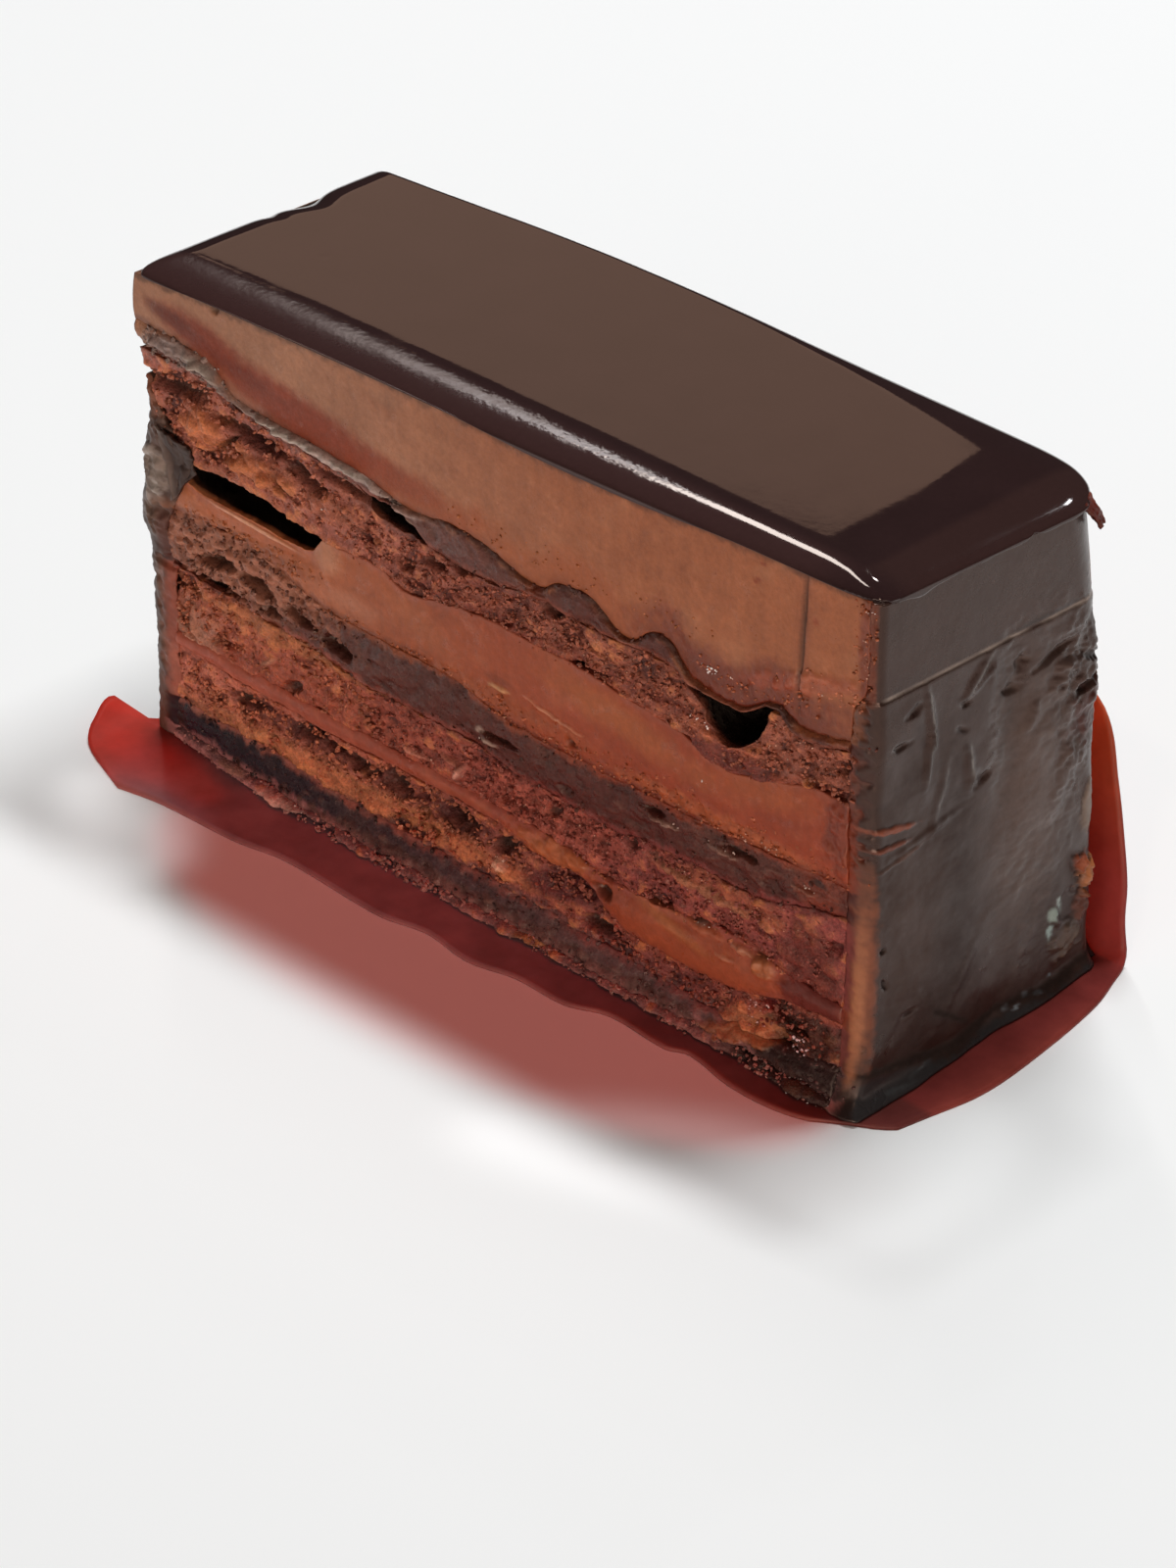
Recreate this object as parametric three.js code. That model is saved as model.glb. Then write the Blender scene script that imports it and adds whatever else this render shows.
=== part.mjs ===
// A cut slice of opera cake on its film liner, as a scene graph of closed bodies.
// Millimetres. x runs along the slice, y from the cut face to the back, z up.

import * as THREE from 'three';

// ---------------------------------------------------------------- driving sizes

const LENGTH = 90; // left end to glazed right end
const DEPTH = 30; // cut face to back face
const TOP = 49.5; // flat of the glaze above the liner's underside
const LINER_THICKNESS = 0.4;
const LAYER_GAP = 0.12; // clearance between neighbouring layers
const END_GAP = 0.35; // clearance between the layers and the coats on the two ends
const LAYER_FLOOR = LINER_THICKNESS + 0.1; // underside of the lowest layer

const { clamp, lerp, smoothstep, seededRandom } = THREE.MathUtils;

// ---------------------------------------------------------------- curves and relief

/** Smooth curve through [position, value] stations, level beyond the first and last. */
function curve(stations) {
  const last = stations.length - 1;
  const slope = (k) => {
    const before = stations[Math.max(k - 1, 0)];
    const after = stations[Math.min(k + 1, last)];
    return (after[1] - before[1]) / (after[0] - before[0]);
  };
  return (position) => {
    let k = 0;
    while (k < last - 1 && position > stations[k + 1][0]) k += 1;
    const [start, low] = stations[k];
    const [end, high] = stations[k + 1];
    const span = end - start;
    const t = clamp((position - start) / span, 0, 1);
    const bend = low * (1 + 2 * t) * (1 - t) ** 2 + high * t * t * (3 - 2 * t);
    const lean = slope(k) * t * (1 - t) ** 2 - slope(k + 1) * t * t * (1 - t);
    return bend + lean * span;
  };
}

/** Soft bump of height 1 at the centre, falling away over the given half widths. */
function bump(u, v, centreU, centreV, halfU, halfV) {
  return Math.exp(-(((u - centreU) / halfU) ** 2) - ((v - centreV) / halfV) ** 2);
}

/** 1 between two ends, easing to 0 outside them over the two given widths. */
function plateau(x, from, to, easeIn, easeOut) {
  return smoothstep(x, from, from + easeIn) * (1 - smoothstep(x, to - easeOut, to));
}

// ---------------------------------------------------------------- closed bodies

/** Grid positions round the rim of a skin, anticlockwise seen from its outer side. */
function rimOf(columns, rows) {
  const rim = [];
  for (let i = 0; i < columns - 1; i += 1) rim.push([i, 0]);
  for (let j = 0; j < rows - 1; j += 1) rim.push([columns - 1, j]);
  for (let i = columns - 1; i > 0; i -= 1) rim.push([i, rows - 1]);
  for (let j = rows - 1; j > 0; j -= 1) rim.push([0, j]);
  return rim;
}

/**
 * Closed body between an outer and an inner skin, both grids [column][row] of points.
 * ringCount rings lie on the wall between their rims; relief(point, share) moves their points.
 */
function closedBody(outer, inner, ringCount = 0, relief = null) {
  const positions = [];
  const faces = [];
  const put = (point) => {
    positions.push(point.x, point.y, point.z);
    return positions.length / 3 - 1;
  };
  const quad = (a, b, c, d) => faces.push(a, b, c, a, c, d);

  const columns = outer.length;
  const rows = outer[0].length;
  const outerIndex = outer.map((column) => column.map(put));
  const innerIndex = inner.map((column) => column.map(put));
  for (let i = 0; i < columns - 1; i += 1) {
    for (let j = 0; j < rows - 1; j += 1) {
      const skin = outerIndex;
      const lining = innerIndex;
      quad(skin[i][j], skin[i + 1][j], skin[i + 1][j + 1], skin[i][j + 1]);
      faces.push(lining[i][j], lining[i + 1][j + 1], lining[i + 1][j]);
      faces.push(lining[i][j], lining[i][j + 1], lining[i + 1][j + 1]);
    }
  }

  const rim = rimOf(columns, rows);
  const rings = [rim.map(([i, j]) => innerIndex[i][j])];
  for (let r = 1; r <= ringCount; r += 1) {
    const share = r / (ringCount + 1);
    rings.push(rim.map(([i, j]) => {
      const point = inner[i][j].clone().lerp(outer[i][j], share);
      if (relief) relief(point, share, { i, j, columns, rows });
      return put(point);
    }));
  }
  rings.push(rim.map(([i, j]) => outerIndex[i][j]));
  for (let r = 0; r < rings.length - 1; r += 1) {
    for (let n = 0; n < rim.length; n += 1) {
      const next = (n + 1) % rim.length;
      quad(rings[r][n], rings[r][next], rings[r + 1][next], rings[r + 1][n]);
    }
  }

  const geometry = new THREE.BufferGeometry();
  geometry.setAttribute('position', new THREE.Float32BufferAttribute(positions, 3));
  geometry.setIndex(faces);
  geometry.computeVertexNormals();
  return geometry;
}

function named(name, geometry, color, roughness) {
  const material = new THREE.MeshStandardMaterial({ color, roughness, metalness: 0 });
  const mesh = new THREE.Mesh(geometry, material);
  mesh.name = name;
  return mesh;
}

// ---------------------------------------------------------------- the slice's outline

// The foot swells out towards the cut face, most along the middle of the slice.
const FOOT_SWELL = 3.2;
const FOOT_SWELL_HEIGHT = 2.6;
const footShare = curve([[0, 0.1], [12, 0.65], [26, 1], [78, 1], [90, 0.35]]);
const TOP_CORNER_SETBACK = 0.9; // the glazed end's upper front corner lies this far back

function frontAt(x, z) {
  const swell = FOOT_SWELL * footShare(x) * Math.exp(-z / FOOT_SWELL_HEIGHT);
  return TOP_CORNER_SETBACK * (x / LENGTH) ** 3 * (z / TOP) - swell;
}

const BACK_FOOT = 31;
const backTop = curve([[0, 29.9], [30, 31.4], [62, 30.6], [90, 28.4]]);

function backAt(x, z) {
  return lerp(BACK_FOOT, backTop(x), z / TOP);
}

// Outer faces of the two ends. The right one twists a little from foot to rim.
const leftFace = curve([
  [0, -0.4], [20, -0.3], [23, -0.9], [27, -0.4], [34, 0.6], [37, 0.7], [40, 0], [44, -0.9], [TOP, -0.4],
]);

function rightFace(y, z) {
  const foot = 90.4 - y / DEPTH;
  const rim = 89.7 + (1.1 * y) / DEPTH;
  return lerp(foot, rim, z / TOP);
}

// Each end coat is thin, and thicker at the cut face, where it wraps round the corner.
const COAT_THICKNESS = 1.1;
const WRAP_REACH = 3;
const LEFT_COAT_TOP = 36;
const leftWrap = curve([[0, 1.9], [20, 2], [24, 2.3], [28, 3.9], [31, 3.6], [34, 1.8], [37, 0.2], [39, 0]]);
const rightWrap = curve([[0, 1.6], [22, 1.5], [30, 1.7], [38, 1.4], [40, 0.1], [TOP, 0]]);

function wrapShare(x, y, z) {
  return clamp((WRAP_REACH - y) / (WRAP_REACH - frontAt(x, z)), 0, 1);
}

function leftCoatDepth(y, z) {
  const thinning = 1 - smoothstep(z, LEFT_COAT_TOP - 4, LEFT_COAT_TOP + 1.5);
  return COAT_THICKNESS * thinning + leftWrap(z) * wrapShare(0, y, z);
}

function rightCoatDepth(y, z) {
  return COAT_THICKNESS + rightWrap(z) * wrapShare(LENGTH, y, z);
}

/** Left end of the layers: inside the coat, and out to the bare face above it. */
function layersLeft(y, z) {
  const gap = END_GAP * (1 - smoothstep(z, LEFT_COAT_TOP, LEFT_COAT_TOP + 3));
  return leftFace(z) + leftCoatDepth(y, z) + gap;
}

function layersRight(y, z) {
  return rightFace(y, z) - rightCoatDepth(y, z) - END_GAP;
}

// ---------------------------------------------------------------- layers

// Underside of each layer along the cut face, from the top layer down. belly moves the middle
// of its cut edge out of the face, crumb roughens it, and thinnest keeps it whole.
const LAYERS = [
  {
    name: 'mousse_top', color: 0x8a5743, roughness: 0.5, rings: 3, belly: 0.1, crumb: 0.08, thinnest: 3,
    under: curve([
      [0, 43.4], [6, 43], [10, 42.2], [12.5, 40.2], [20, 39.3], [30, 38.4], [35, 37.2], [40, 37.6],
      [45, 37.2], [51, 35.9], [56, 36.7], [63, 35], [66.5, 36.3], [70, 33.5], [75, 33.2], [79, 35],
      [82, 33.9], [90, 35.4],
    ]),
  },
  {
    name: 'ganache_upper', color: 0x4a3630, roughness: 0.55, rings: 1, belly: 0.5, crumb: 0.2, thinnest: 0.45,
    under: curve([
      [0, 40.8], [9, 40.3], [13, 38.9], [22, 37.9], [30, 36.8], [35, 36.2], [38, 34.3], [45, 33.7],
      [51, 34.3], [57, 33.9], [67, 34], [70, 33], [79, 34.4], [82, 32.9], [90, 34.6],
    ]),
  },
  {
    name: 'sponge_upper', color: 0x8c4a30, roughness: 0.85, rings: 3, belly: -0.25, crumb: 0.45, thinnest: 1.5,
    under: curve([
      [0, 31], [14, 31.1], [25, 29.8], [31, 29.8], [35, 28.6], [44, 29.9], [55, 29.5], [67, 28.2],
      [74, 26.6], [83, 28.7], [90, 28.6],
    ]),
  },
  {
    name: 'cream_middle', color: 0x8a4a30, roughness: 0.45, rings: 2, belly: 0.15, crumb: 0.08, thinnest: 1.5,
    under: curve([
      [0, 25.4], [15, 25.2], [20, 23.6], [26, 22.5], [40, 22.2], [47, 20.7], [60, 20.3], [76, 20.4], [90, 21],
    ]),
  },
  {
    name: 'ganache_middle', color: 0x4b342f, roughness: 0.55, rings: 1, belly: 0.3, crumb: 0.2, thinnest: 0.8,
    under: curve([
      [0, 19.5], [10, 18.8], [20, 18], [30, 16.7], [42, 16.7], [49, 15.7], [60, 15], [66, 15.7],
      [78, 15.8], [84, 17.3], [90, 18.6],
    ]),
  },
  {
    name: 'sponge_middle', color: 0x8d4d31, roughness: 0.85, rings: 2, belly: -0.2, crumb: 0.4, thinnest: 1.5,
    under: curve([[0, 12.2], [20, 11.6], [45, 11.3], [53, 11], [62, 9.8], [76, 10.8], [82, 9.6], [90, 9.2]]),
  },
  {
    name: 'cream_lower', color: 0x88482f, roughness: 0.45, rings: 1, belly: 0.25, crumb: 0.08, thinnest: 0.6,
    under: curve([
      [0, 10.8], [20, 9.7], [45, 9.6], [51, 8.6], [57, 8.4], [61, 6.1], [67, 5.5], [76, 5.8], [82, 7.2], [90, 7.6],
    ]),
  },
  {
    name: 'sponge_lower', color: 0x95562f, roughness: 0.85, rings: 2, belly: -0.2, crumb: 0.4, thinnest: 1,
    under: curve([[0, 4.9], [20, 4.6], [30, 4], [47, 3.8], [62, 3.4], [78, 3], [90, 3.8]]),
  },
  {
    name: 'ganache_base', color: 0x42302a, roughness: 0.6, rings: 1, belly: 0.2, crumb: 0.35, thinnest: 0.8,
    under: curve([[0, 1.8], [25, 1.3], [60, 1.2], [90, 1.4]]),
  },
  {
    name: 'sponge_base', color: 0x744434, roughness: 0.85, rings: 1, belly: 0.25, crumb: 0.4, thinnest: 0.5,
    under: () => LAYER_FLOOR,
  },
];

// Air pockets that open at the cut face: under which layer, from and to along x, how far the
// next layer drops away, how far they reach in, and how softly they begin and end.
const HOLLOWS = [
  { under: 'sponge_upper', from: 5, to: 23.8, drop: 3.9, reach: 11, easeIn: 3, easeOut: 1.2 },
  { under: 'ganache_upper', from: 30, to: 37.4, drop: 1.9, reach: 7, easeIn: 2.5, easeOut: 2.5 },
  { under: 'ganache_upper', from: 69.8, to: 78.8, drop: 3.4, reach: 10, easeIn: 2, easeOut: 1.2 },
];

// Glaze edge against the top of the mousse, along the cut face.
const glazeUnder = curve([[0, 48.1], [12, 48.5], [40, 48.5], [52, 48], [64, 48], [74, 48.4], [90, 48.2]]);

const SWAY = 5; // how far a wave in a layer slides along x towards the back
const LIFT = 0.6; // how far a layer rises or falls towards the back

/** Underside of layer k at a point; k = -1 is the underside of the glaze. */
function underside(k, x, y) {
  if (k < 0) return glazeUnder(x);
  if (k === LAYERS.length - 1) return LAYER_FLOOR;
  const inward = clamp(y / DEPTH, 0, 1);
  const slid = x + SWAY * inward * Math.sin(y / 11 + k * 1.9);
  const lifted = LIFT * inward * Math.sin(x / 13 + k * 2.1);
  const { under, thinnest } = LAYERS[k];
  return Math.min(under(slid) + lifted, underside(k - 1, x, y) - thinnest);
}

/** Drop of the layer below layer k into an air pocket. */
function hollowUnder(k, x, y) {
  if (k < 0) return 0;
  return HOLLOWS.filter((hollow) => hollow.under === LAYERS[k].name)
    .map(({ from, to, drop, reach, easeIn, easeOut }) => (
      drop * plateau(x, from, to, easeIn, easeOut) * (1 - smoothstep(y, reach * 0.3, reach))
    ))
    .reduce((sum, part) => sum + part, 0);
}

// Columns along x: a regular step, with lines added where the air pockets begin and end.
const COLUMN_STEP = 2.7;
const FIRST_COLUMN = 7.6;
const LAST_COLUMN = 84;

function layerColumns() {
  const edges = HOLLOWS.flatMap(({ from, to, easeIn, easeOut }) => [from + easeIn, to - easeOut, to]);
  const columns = edges.filter((x) => x > FIRST_COLUMN);
  for (let x = FIRST_COLUMN; x <= LAST_COLUMN; x += COLUMN_STEP) {
    if (edges.every((edge) => Math.abs(edge - x) > COLUMN_STEP / 3)) columns.push(x);
  }
  return columns.sort((a, b) => a - b);
}

const COLUMNS = layerColumns();
const ROWS_IN = [WRAP_REACH, 10.5, 20]; // distances of the inner rows from the cut face

const BACK_CORNER_CUT = 0.8; // the right back corner is rounded off

/** Plan grid of the seam under layer k: rims on the outline, other points at fixed places. */
function seamPlan(k) {
  const height = (x) => underside(k, x, 0);
  const column = (xAt) => {
    const front = frontAt(xAt(0), height(xAt(0)));
    const back = backAt(xAt(DEPTH), underside(k, xAt(DEPTH), DEPTH));
    return [front, ...ROWS_IN, back].map((y) => new THREE.Vector2(xAt(y), y));
  };
  const left = column((y) => layersLeft(y, underside(k, 2, y)));
  const right = column((y) => layersRight(y, underside(k, LENGTH - 2, y)));
  const corner = right[right.length - 1];
  corner.add(new THREE.Vector2(-BACK_CORNER_CUT, -BACK_CORNER_CUT));
  return [left, ...COLUMNS.map((x) => column(() => x)), right];
}

function makeLayer(k) {
  const { name, color, roughness, rings, belly, crumb } = LAYERS[k];
  const half = LAYER_GAP / 2;
  const upper = seamPlan(k - 1).map((column) => column.map(({ x, y }) => (
    new THREE.Vector3(x, y, underside(k - 1, x, y) - hollowUnder(k - 1, x, y) - half)
  )));
  const lower = seamPlan(k).map((column) => column.map(({ x, y }) => (
    new THREE.Vector3(x, y, underside(k, x, y) + (k === LAYERS.length - 1 ? 0 : half))
  )));
  seededRandom(k + 11);
  const relief = (point, share, { i, j, columns, rows }) => {
    const rough = crumb * (seededRandom() - 0.5) * 2;
    const out = belly * Math.sin(Math.PI * share) + rough;
    if (i === 0) point.x = layersLeft(point.y, point.z);
    if (i === columns - 1) point.x = layersRight(point.y, point.z) - (j === rows - 1 ? BACK_CORNER_CUT : 0);
    if (j === 0) point.y -= out;
    if (j === rows - 1) point.y += out * 0.7;
  };
  return named(name, closedBody(upper, lower, rings, relief), color, roughness);
}

// ---------------------------------------------------------------- glaze

const GLAZE = { color: 0x2b1d1b, roughness: 0.12 };
const GLAZE_PROUD = 0.3; // how far the glaze's edge stands out over the cut face
const GLAZE_CORNER_CUT = 1.6; // rounding of the right back corner, along x and y
const LEFT_NICK = { at: 20, half: 2.6, bite: 1.4 };

// Fall of the glaze's surface from its flat towards each edge: width, depth, sharpness.
const FRONT_FALL = { width: 4.6, depth: 1, power: 2.6 };
const BACK_FALL = { width: 2.6, depth: 0.8, power: 2.4 };
const LEFT_FALL = { width: 2.4, depth: 0.8, power: 2.4 };
const RIGHT_FALL = { width: 5.6, depth: 1.1, power: 2.2 };

function fall({ width, depth, power }, distance) {
  return depth * clamp(1 - distance / width, 0, 1) ** power;
}

function glazeRows(front, back) {
  return [0, 0.7, 2, FRONT_FALL.width].map((step) => front + step)
    .concat([DEPTH / 2, back - BACK_FALL.width, back - 0.8, back]);
}

function makeGlaze() {
  const left = (y) => leftFace(TOP) + LEFT_NICK.bite * bump(y, 0, LEFT_NICK.at, 0, LEFT_NICK.half, 1);
  const right = (y) => rightFace(y, TOP) + GLAZE_PROUD;
  const between = [-0.4, 1.4, 4].map((step) => (y) => left(LEFT_NICK.at) + step)
    .concat(COLUMNS.map((x) => () => x))
    .concat([3, 1].map((step) => (y) => right(y) - step));
  const plan = [left, ...between.slice(1), right].map((xAt) => {
    const front = frontAt(xAt(0), TOP) - GLAZE_PROUD;
    const back = backAt(xAt(DEPTH), TOP) + GLAZE_PROUD;
    return glazeRows(front, back).map((y) => ({ x: xAt(y), y, front, back }));
  });
  const cornerCut = ({ x, y, back }) => {
    const beyond = clamp((x - (LENGTH - 6)) / 6, 0, 1) * clamp((y - (back - 6)) / 6, 0, 1);
    return GLAZE_CORNER_CUT * beyond;
  };
  const upper = plan.map((column) => column.map((spot) => {
    const cut = cornerCut(spot);
    const drop = fall(FRONT_FALL, spot.y - spot.front) + fall(BACK_FALL, spot.back - spot.y)
      + fall(LEFT_FALL, spot.x - left(spot.y)) + fall(RIGHT_FALL, right(spot.y) - spot.x);
    return new THREE.Vector3(spot.x - cut, spot.y - cut, TOP - Math.min(drop, FRONT_FALL.depth * 1.15));
  }));
  const lower = plan.map((column) => column.map((spot) => {
    const cut = cornerCut(spot);
    return new THREE.Vector3(spot.x - cut, spot.y - cut, glazeUnder(spot.x) + LAYER_GAP / 2);
  }));
  return named('glaze_top', closedBody(upper, lower), GLAZE.color, GLAZE.roughness);
}

// ---------------------------------------------------------------- coats on the two ends

const COAT = { color: 0x3a2d2a, roughness: 0.25 };
const SEAM_HEIGHT = 39.3; // the coat steps out below this line
const SEAM_STEP = 0.35;
const POOL_HEIGHT = 2.6;
const POOL_REACH = 2;
const POOL_SPREAD = 0.4; // share of that reach by which the pool also passes the cut face

/** Ridges, folds and the step that the coat on the right end shows. */
function coatRelief(y, z) {
  const folds = 0.55 * bump(y, z, 7, 33.5, 0.9, 4.5)
    + 0.5 * bump(y, z, 12.6, 36.4, 1.6, 2.2)
    + 0.5 * bump(y, z, 12, 28.4, 1.4, 2.4)
    + 0.5 * bump(y, z, 9, 25, 3, 1.4)
    + 0.6 * bump(y, z, 26.5, 30, 2.6, 4.5)
    + 0.6 * bump(y, z, 22.5, 34.5, 3, 1.6)
    + 0.5 * bump(y, z, 25.4, 7.6, 1.6, 2);
  const dips = 0.45 * bump(y, z, 17.5, 32, 1.5, 5) + 0.4 * bump(y, z, 13.8, 26.6, 1.6, 0.9);
  const ledge = SEAM_STEP * (1 - smoothstep(z, SEAM_HEIGHT - 0.4, SEAM_HEIGHT));
  return ledge + folds - dips;
}

function poolReach(y, z) {
  const uneven = 1 + 0.12 * Math.sin(y / 3.1);
  return POOL_REACH * uneven * clamp(1 - z / POOL_HEIGHT, 0, 1) ** 1.8;
}

const END_GAP_ABOVE = 0.15; // clearance under the glaze's overhang

function makeRightCoat() {
  const heights = [
    LAYER_FLOOR, 1, 1.9, POOL_HEIGHT, 5.5, 8.5, 12, 16, 20, 23, 25, 27, 29, 31, 33, 35, 37,
    SEAM_HEIGHT - 0.4, SEAM_HEIGHT, 43, 46.5, glazeUnder(LENGTH) - END_GAP_ABOVE,
  ];
  const rowsBetween = [WRAP_REACH / 3, ...ROWS_IN, 5.5, 8, 13, 16, 23, 25.5, 27.5].sort((a, b) => a - b);
  const last = rowsBetween.length + 1;
  const rows = [0, ...rowsBetween, DEPTH].map((row, n) => heights.map((z) => {
    const pool = poolReach(0, z);
    const front = frontAt(LENGTH, z) - POOL_SPREAD * pool;
    const back = backAt(LENGTH, z) + POOL_SPREAD * pool / 2;
    const y = [front, row, back][(n > 0) + (n === last)];
    const atBack = n === last ? 1.3 + 1.2 * (z / TOP) ** 2 : 0;
    const rounded = n === 0 ? 0.5 : atBack;
    return { y, z, rounded, cut: n === last ? BACK_CORNER_CUT : 0 };
  }));
  const outer = rows.map((row) => row.map(({ y, z, rounded }) => (
    new THREE.Vector3(rightFace(y, z) + coatRelief(y, z) + poolReach(y, z) - rounded, y, z)
  )));
  const inner = rows.map((row) => row.map(({ y, z, cut }) => (
    new THREE.Vector3(rightFace(y, z) - rightCoatDepth(y, z) - cut, y, z)
  )));
  return named('coat_right', closedBody(outer, inner), COAT.color, COAT.roughness);
}

/** Lumps where the coat on the left end is folded over the corner. */
function lumpRelief(y, z) {
  return 0.5 * bump(y, z, 0, 24, 5, 2.2) + 0.4 * bump(y, z, 0, 31, 4, 2) + 0.3 * bump(y, z, 16, 14, 7, 6);
}

function makeLeftCoat() {
  const heights = [LAYER_FLOOR, 3, 7, 12, 17, 20.5, 23, 25.5, 28, 31, 33.5, LEFT_COAT_TOP];
  const across = (z) => [backAt(0, z), ...ROWS_IN.toReversed(), frontAt(0, z)];
  const rows = across(0).map((_, n) => heights.map((z) => ({ y: across(z)[n], z })));
  const outer = rows.map((row) => row.map(({ y, z }) => (
    new THREE.Vector3(leftFace(z) - lumpRelief(y, z), y, z)
  )));
  const inner = rows.map((row) => row.map(({ y, z }) => (
    new THREE.Vector3(leftFace(z) + leftCoatDepth(y, z), y, z)
  )));
  return named('coat_left', closedBody(outer, inner), COAT.color, COAT.roughness);
}

// ---------------------------------------------------------------- liner

const LINER = { color: 0x6e1f17, roughness: 0.2 };
const LINER_COLUMNS = 30;
const FLAP_FOOT = 31.2; // where the liner begins to turn up behind the slice
const FLAP_FOLD = 2; // radius of that turn
const FLAP_TURN = (FLAP_FOLD * Math.PI) / 2; // length of sheet in the turn
const FLAP_RISE = 24.6; // height of the flap above the turn
const FLAP_LEAN = 0.1; // outward lean of the flap, per millimetre of height
const TAB_LIFT = 1.2; // how far the corner of the tab stands off the table
const TAB_REACH = 7;

// Wavy front edge of the sheet, along x.
const linerFront = curve([
  [5, -10.2], [10, -9.3], [20, -8.8], [26, -7.8], [39, -8.1], [44, -7.1], [50, -7.7], [55, -6.6],
  [61, -6.5], [65, -5], [72, -5.2], [74, -4.4], [80, -5.4], [86, -5], [92, -2.6],
]);

// Rows between the front edge (share 0) and the line under the cut face (share 1).
const APRON_ROWS = [
  { share: 0, left: 5, right: 88 },
  { share: 0.3, left: -2.8, right: 91.6 },
  { share: 0.65, left: -5.9, right: 93.2 },
  { share: 0.92, left: -6.9, right: 94 },
  { share: 1, left: -2.4, right: 94.2 },
];

// Ends of the rows behind that line, against the length of sheet from it.
const linerLeft = curve([[2.5, 0.3], [32, 0.4], [48, 1.5], [54, 4], [FLAP_FOOT + FLAP_TURN + FLAP_RISE, 12]]);
const linerRight = curve([
  [2.5, 94.7], [9, 95.9], [17, 95.5], [26, 94.2], [31, 92.6], [36, 91.2], [40, 90.8], [44, 89.8],
  [49, 88.3], [55, 86], [FLAP_FOOT + FLAP_TURN + FLAP_RISE, 81],
]);

/** Point of the sheet's underside, at x and at a length of sheet from the line y = 0. */
function linerPoint(x, length) {
  const over = length - FLAP_FOOT;
  if (over <= 0) {
    const outside = clamp((-2 - x) / (TAB_REACH - 2), 0, 1);
    return new THREE.Vector3(x, length, TAB_LIFT * outside * outside);
  }
  if (over < FLAP_TURN) {
    const angle = over / FLAP_FOLD;
    const y = FLAP_FOOT + FLAP_FOLD * Math.sin(angle);
    return new THREE.Vector3(x, y, FLAP_FOLD * (1 - Math.cos(angle)));
  }
  const rise = over - FLAP_TURN;
  const wave = 0.35 * Math.sin(x / 4.4) * smoothstep(rise, 0, FLAP_RISE);
  return new THREE.Vector3(x, FLAP_FOOT + FLAP_FOLD + rise * FLAP_LEAN + wave, FLAP_FOLD + rise);
}

function linerColumn(across) {
  const apron = APRON_ROWS.map(({ share, left, right }) => {
    const x = lerp(left, right, across);
    return linerPoint(x, lerp(linerFront(x), 0, share));
  });
  const lengths = [2.5, 16, FLAP_FOOT, FLAP_FOOT + FLAP_TURN / 2]
    .concat([0, 8, 15, FLAP_RISE - 2.4, FLAP_RISE].map((rise) => FLAP_FOOT + FLAP_TURN + rise));
  const rest = lengths.map((length) => (
    linerPoint(lerp(linerLeft(length), linerRight(length), across), length)
  ));
  return apron.concat(rest);
}

function makeLiner() {
  const under = [];
  for (let i = 0; i <= LINER_COLUMNS; i += 1) under.push(linerColumn(i / LINER_COLUMNS));
  const over = under.map((column, i) => column.map((point, j) => {
    const next = column[Math.min(j + 1, column.length - 1)];
    const along = next.clone().sub(column[Math.max(j - 1, 0)]);
    const beside = under[Math.min(i + 1, LINER_COLUMNS)][j];
    const normal = beside.clone().sub(under[Math.max(i - 1, 0)][j]).cross(along).normalize();
    return point.clone().addScaledVector(normal, LINER_THICKNESS);
  }));
  return named('liner', closedBody(over, under), LINER.color, LINER.roughness);
}

// ---------------------------------------------------------------- assembly

const slice = new THREE.Group();
LAYERS.forEach((layer, k) => slice.add(makeLayer(k)));
slice.add(makeGlaze(), makeRightCoat(), makeLeftCoat(), makeLiner());

// The origin is the middle of the whole part's footprint, at the surface it stands on.
const extent = new THREE.Box3().setFromObject(slice);
const middle = extent.getCenter(new THREE.Vector3());
slice.position.set(-middle.x, -middle.y, -extent.min.z);
slice.updateMatrixWorld(true);

export default slice;
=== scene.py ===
"""A cut slice of opera cake on its red film liner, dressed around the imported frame.

Sizes are millimetres in the slice's own axes: x runs along the slice from its left end, y from the
cut face to the back, and z up from the liner's underside. Finished meshes are placed in metres.
"""

import logging
import math
from dataclasses import dataclass
from enum import Enum

import bmesh
import bpy
import numpy as np
from mathutils import Matrix, Vector


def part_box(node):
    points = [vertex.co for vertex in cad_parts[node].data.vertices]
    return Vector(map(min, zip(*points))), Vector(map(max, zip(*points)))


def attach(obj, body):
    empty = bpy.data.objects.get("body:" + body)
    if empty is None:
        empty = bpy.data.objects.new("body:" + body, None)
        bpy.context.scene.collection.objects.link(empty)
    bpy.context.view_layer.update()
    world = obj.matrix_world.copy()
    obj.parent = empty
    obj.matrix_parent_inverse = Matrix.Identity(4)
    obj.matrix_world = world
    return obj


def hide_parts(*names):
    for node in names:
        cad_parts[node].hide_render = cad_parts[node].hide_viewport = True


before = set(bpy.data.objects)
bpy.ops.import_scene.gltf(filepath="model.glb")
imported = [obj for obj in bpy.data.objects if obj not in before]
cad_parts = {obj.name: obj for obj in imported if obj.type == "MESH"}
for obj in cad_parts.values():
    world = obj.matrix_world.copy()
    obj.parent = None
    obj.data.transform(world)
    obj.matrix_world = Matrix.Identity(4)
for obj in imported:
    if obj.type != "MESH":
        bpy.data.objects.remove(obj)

Array = np.ndarray
Stations = tuple[tuple[float, float], ...]
Colour = tuple[float, float, float]
Socket = bpy.types.NodeSocket
Value = Socket | float | tuple[float, ...]

LOG = logging.getLogger("opera_slice")
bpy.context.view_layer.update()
MM = 0.001


# ------------------------------------------------------------------ small tools


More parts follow.
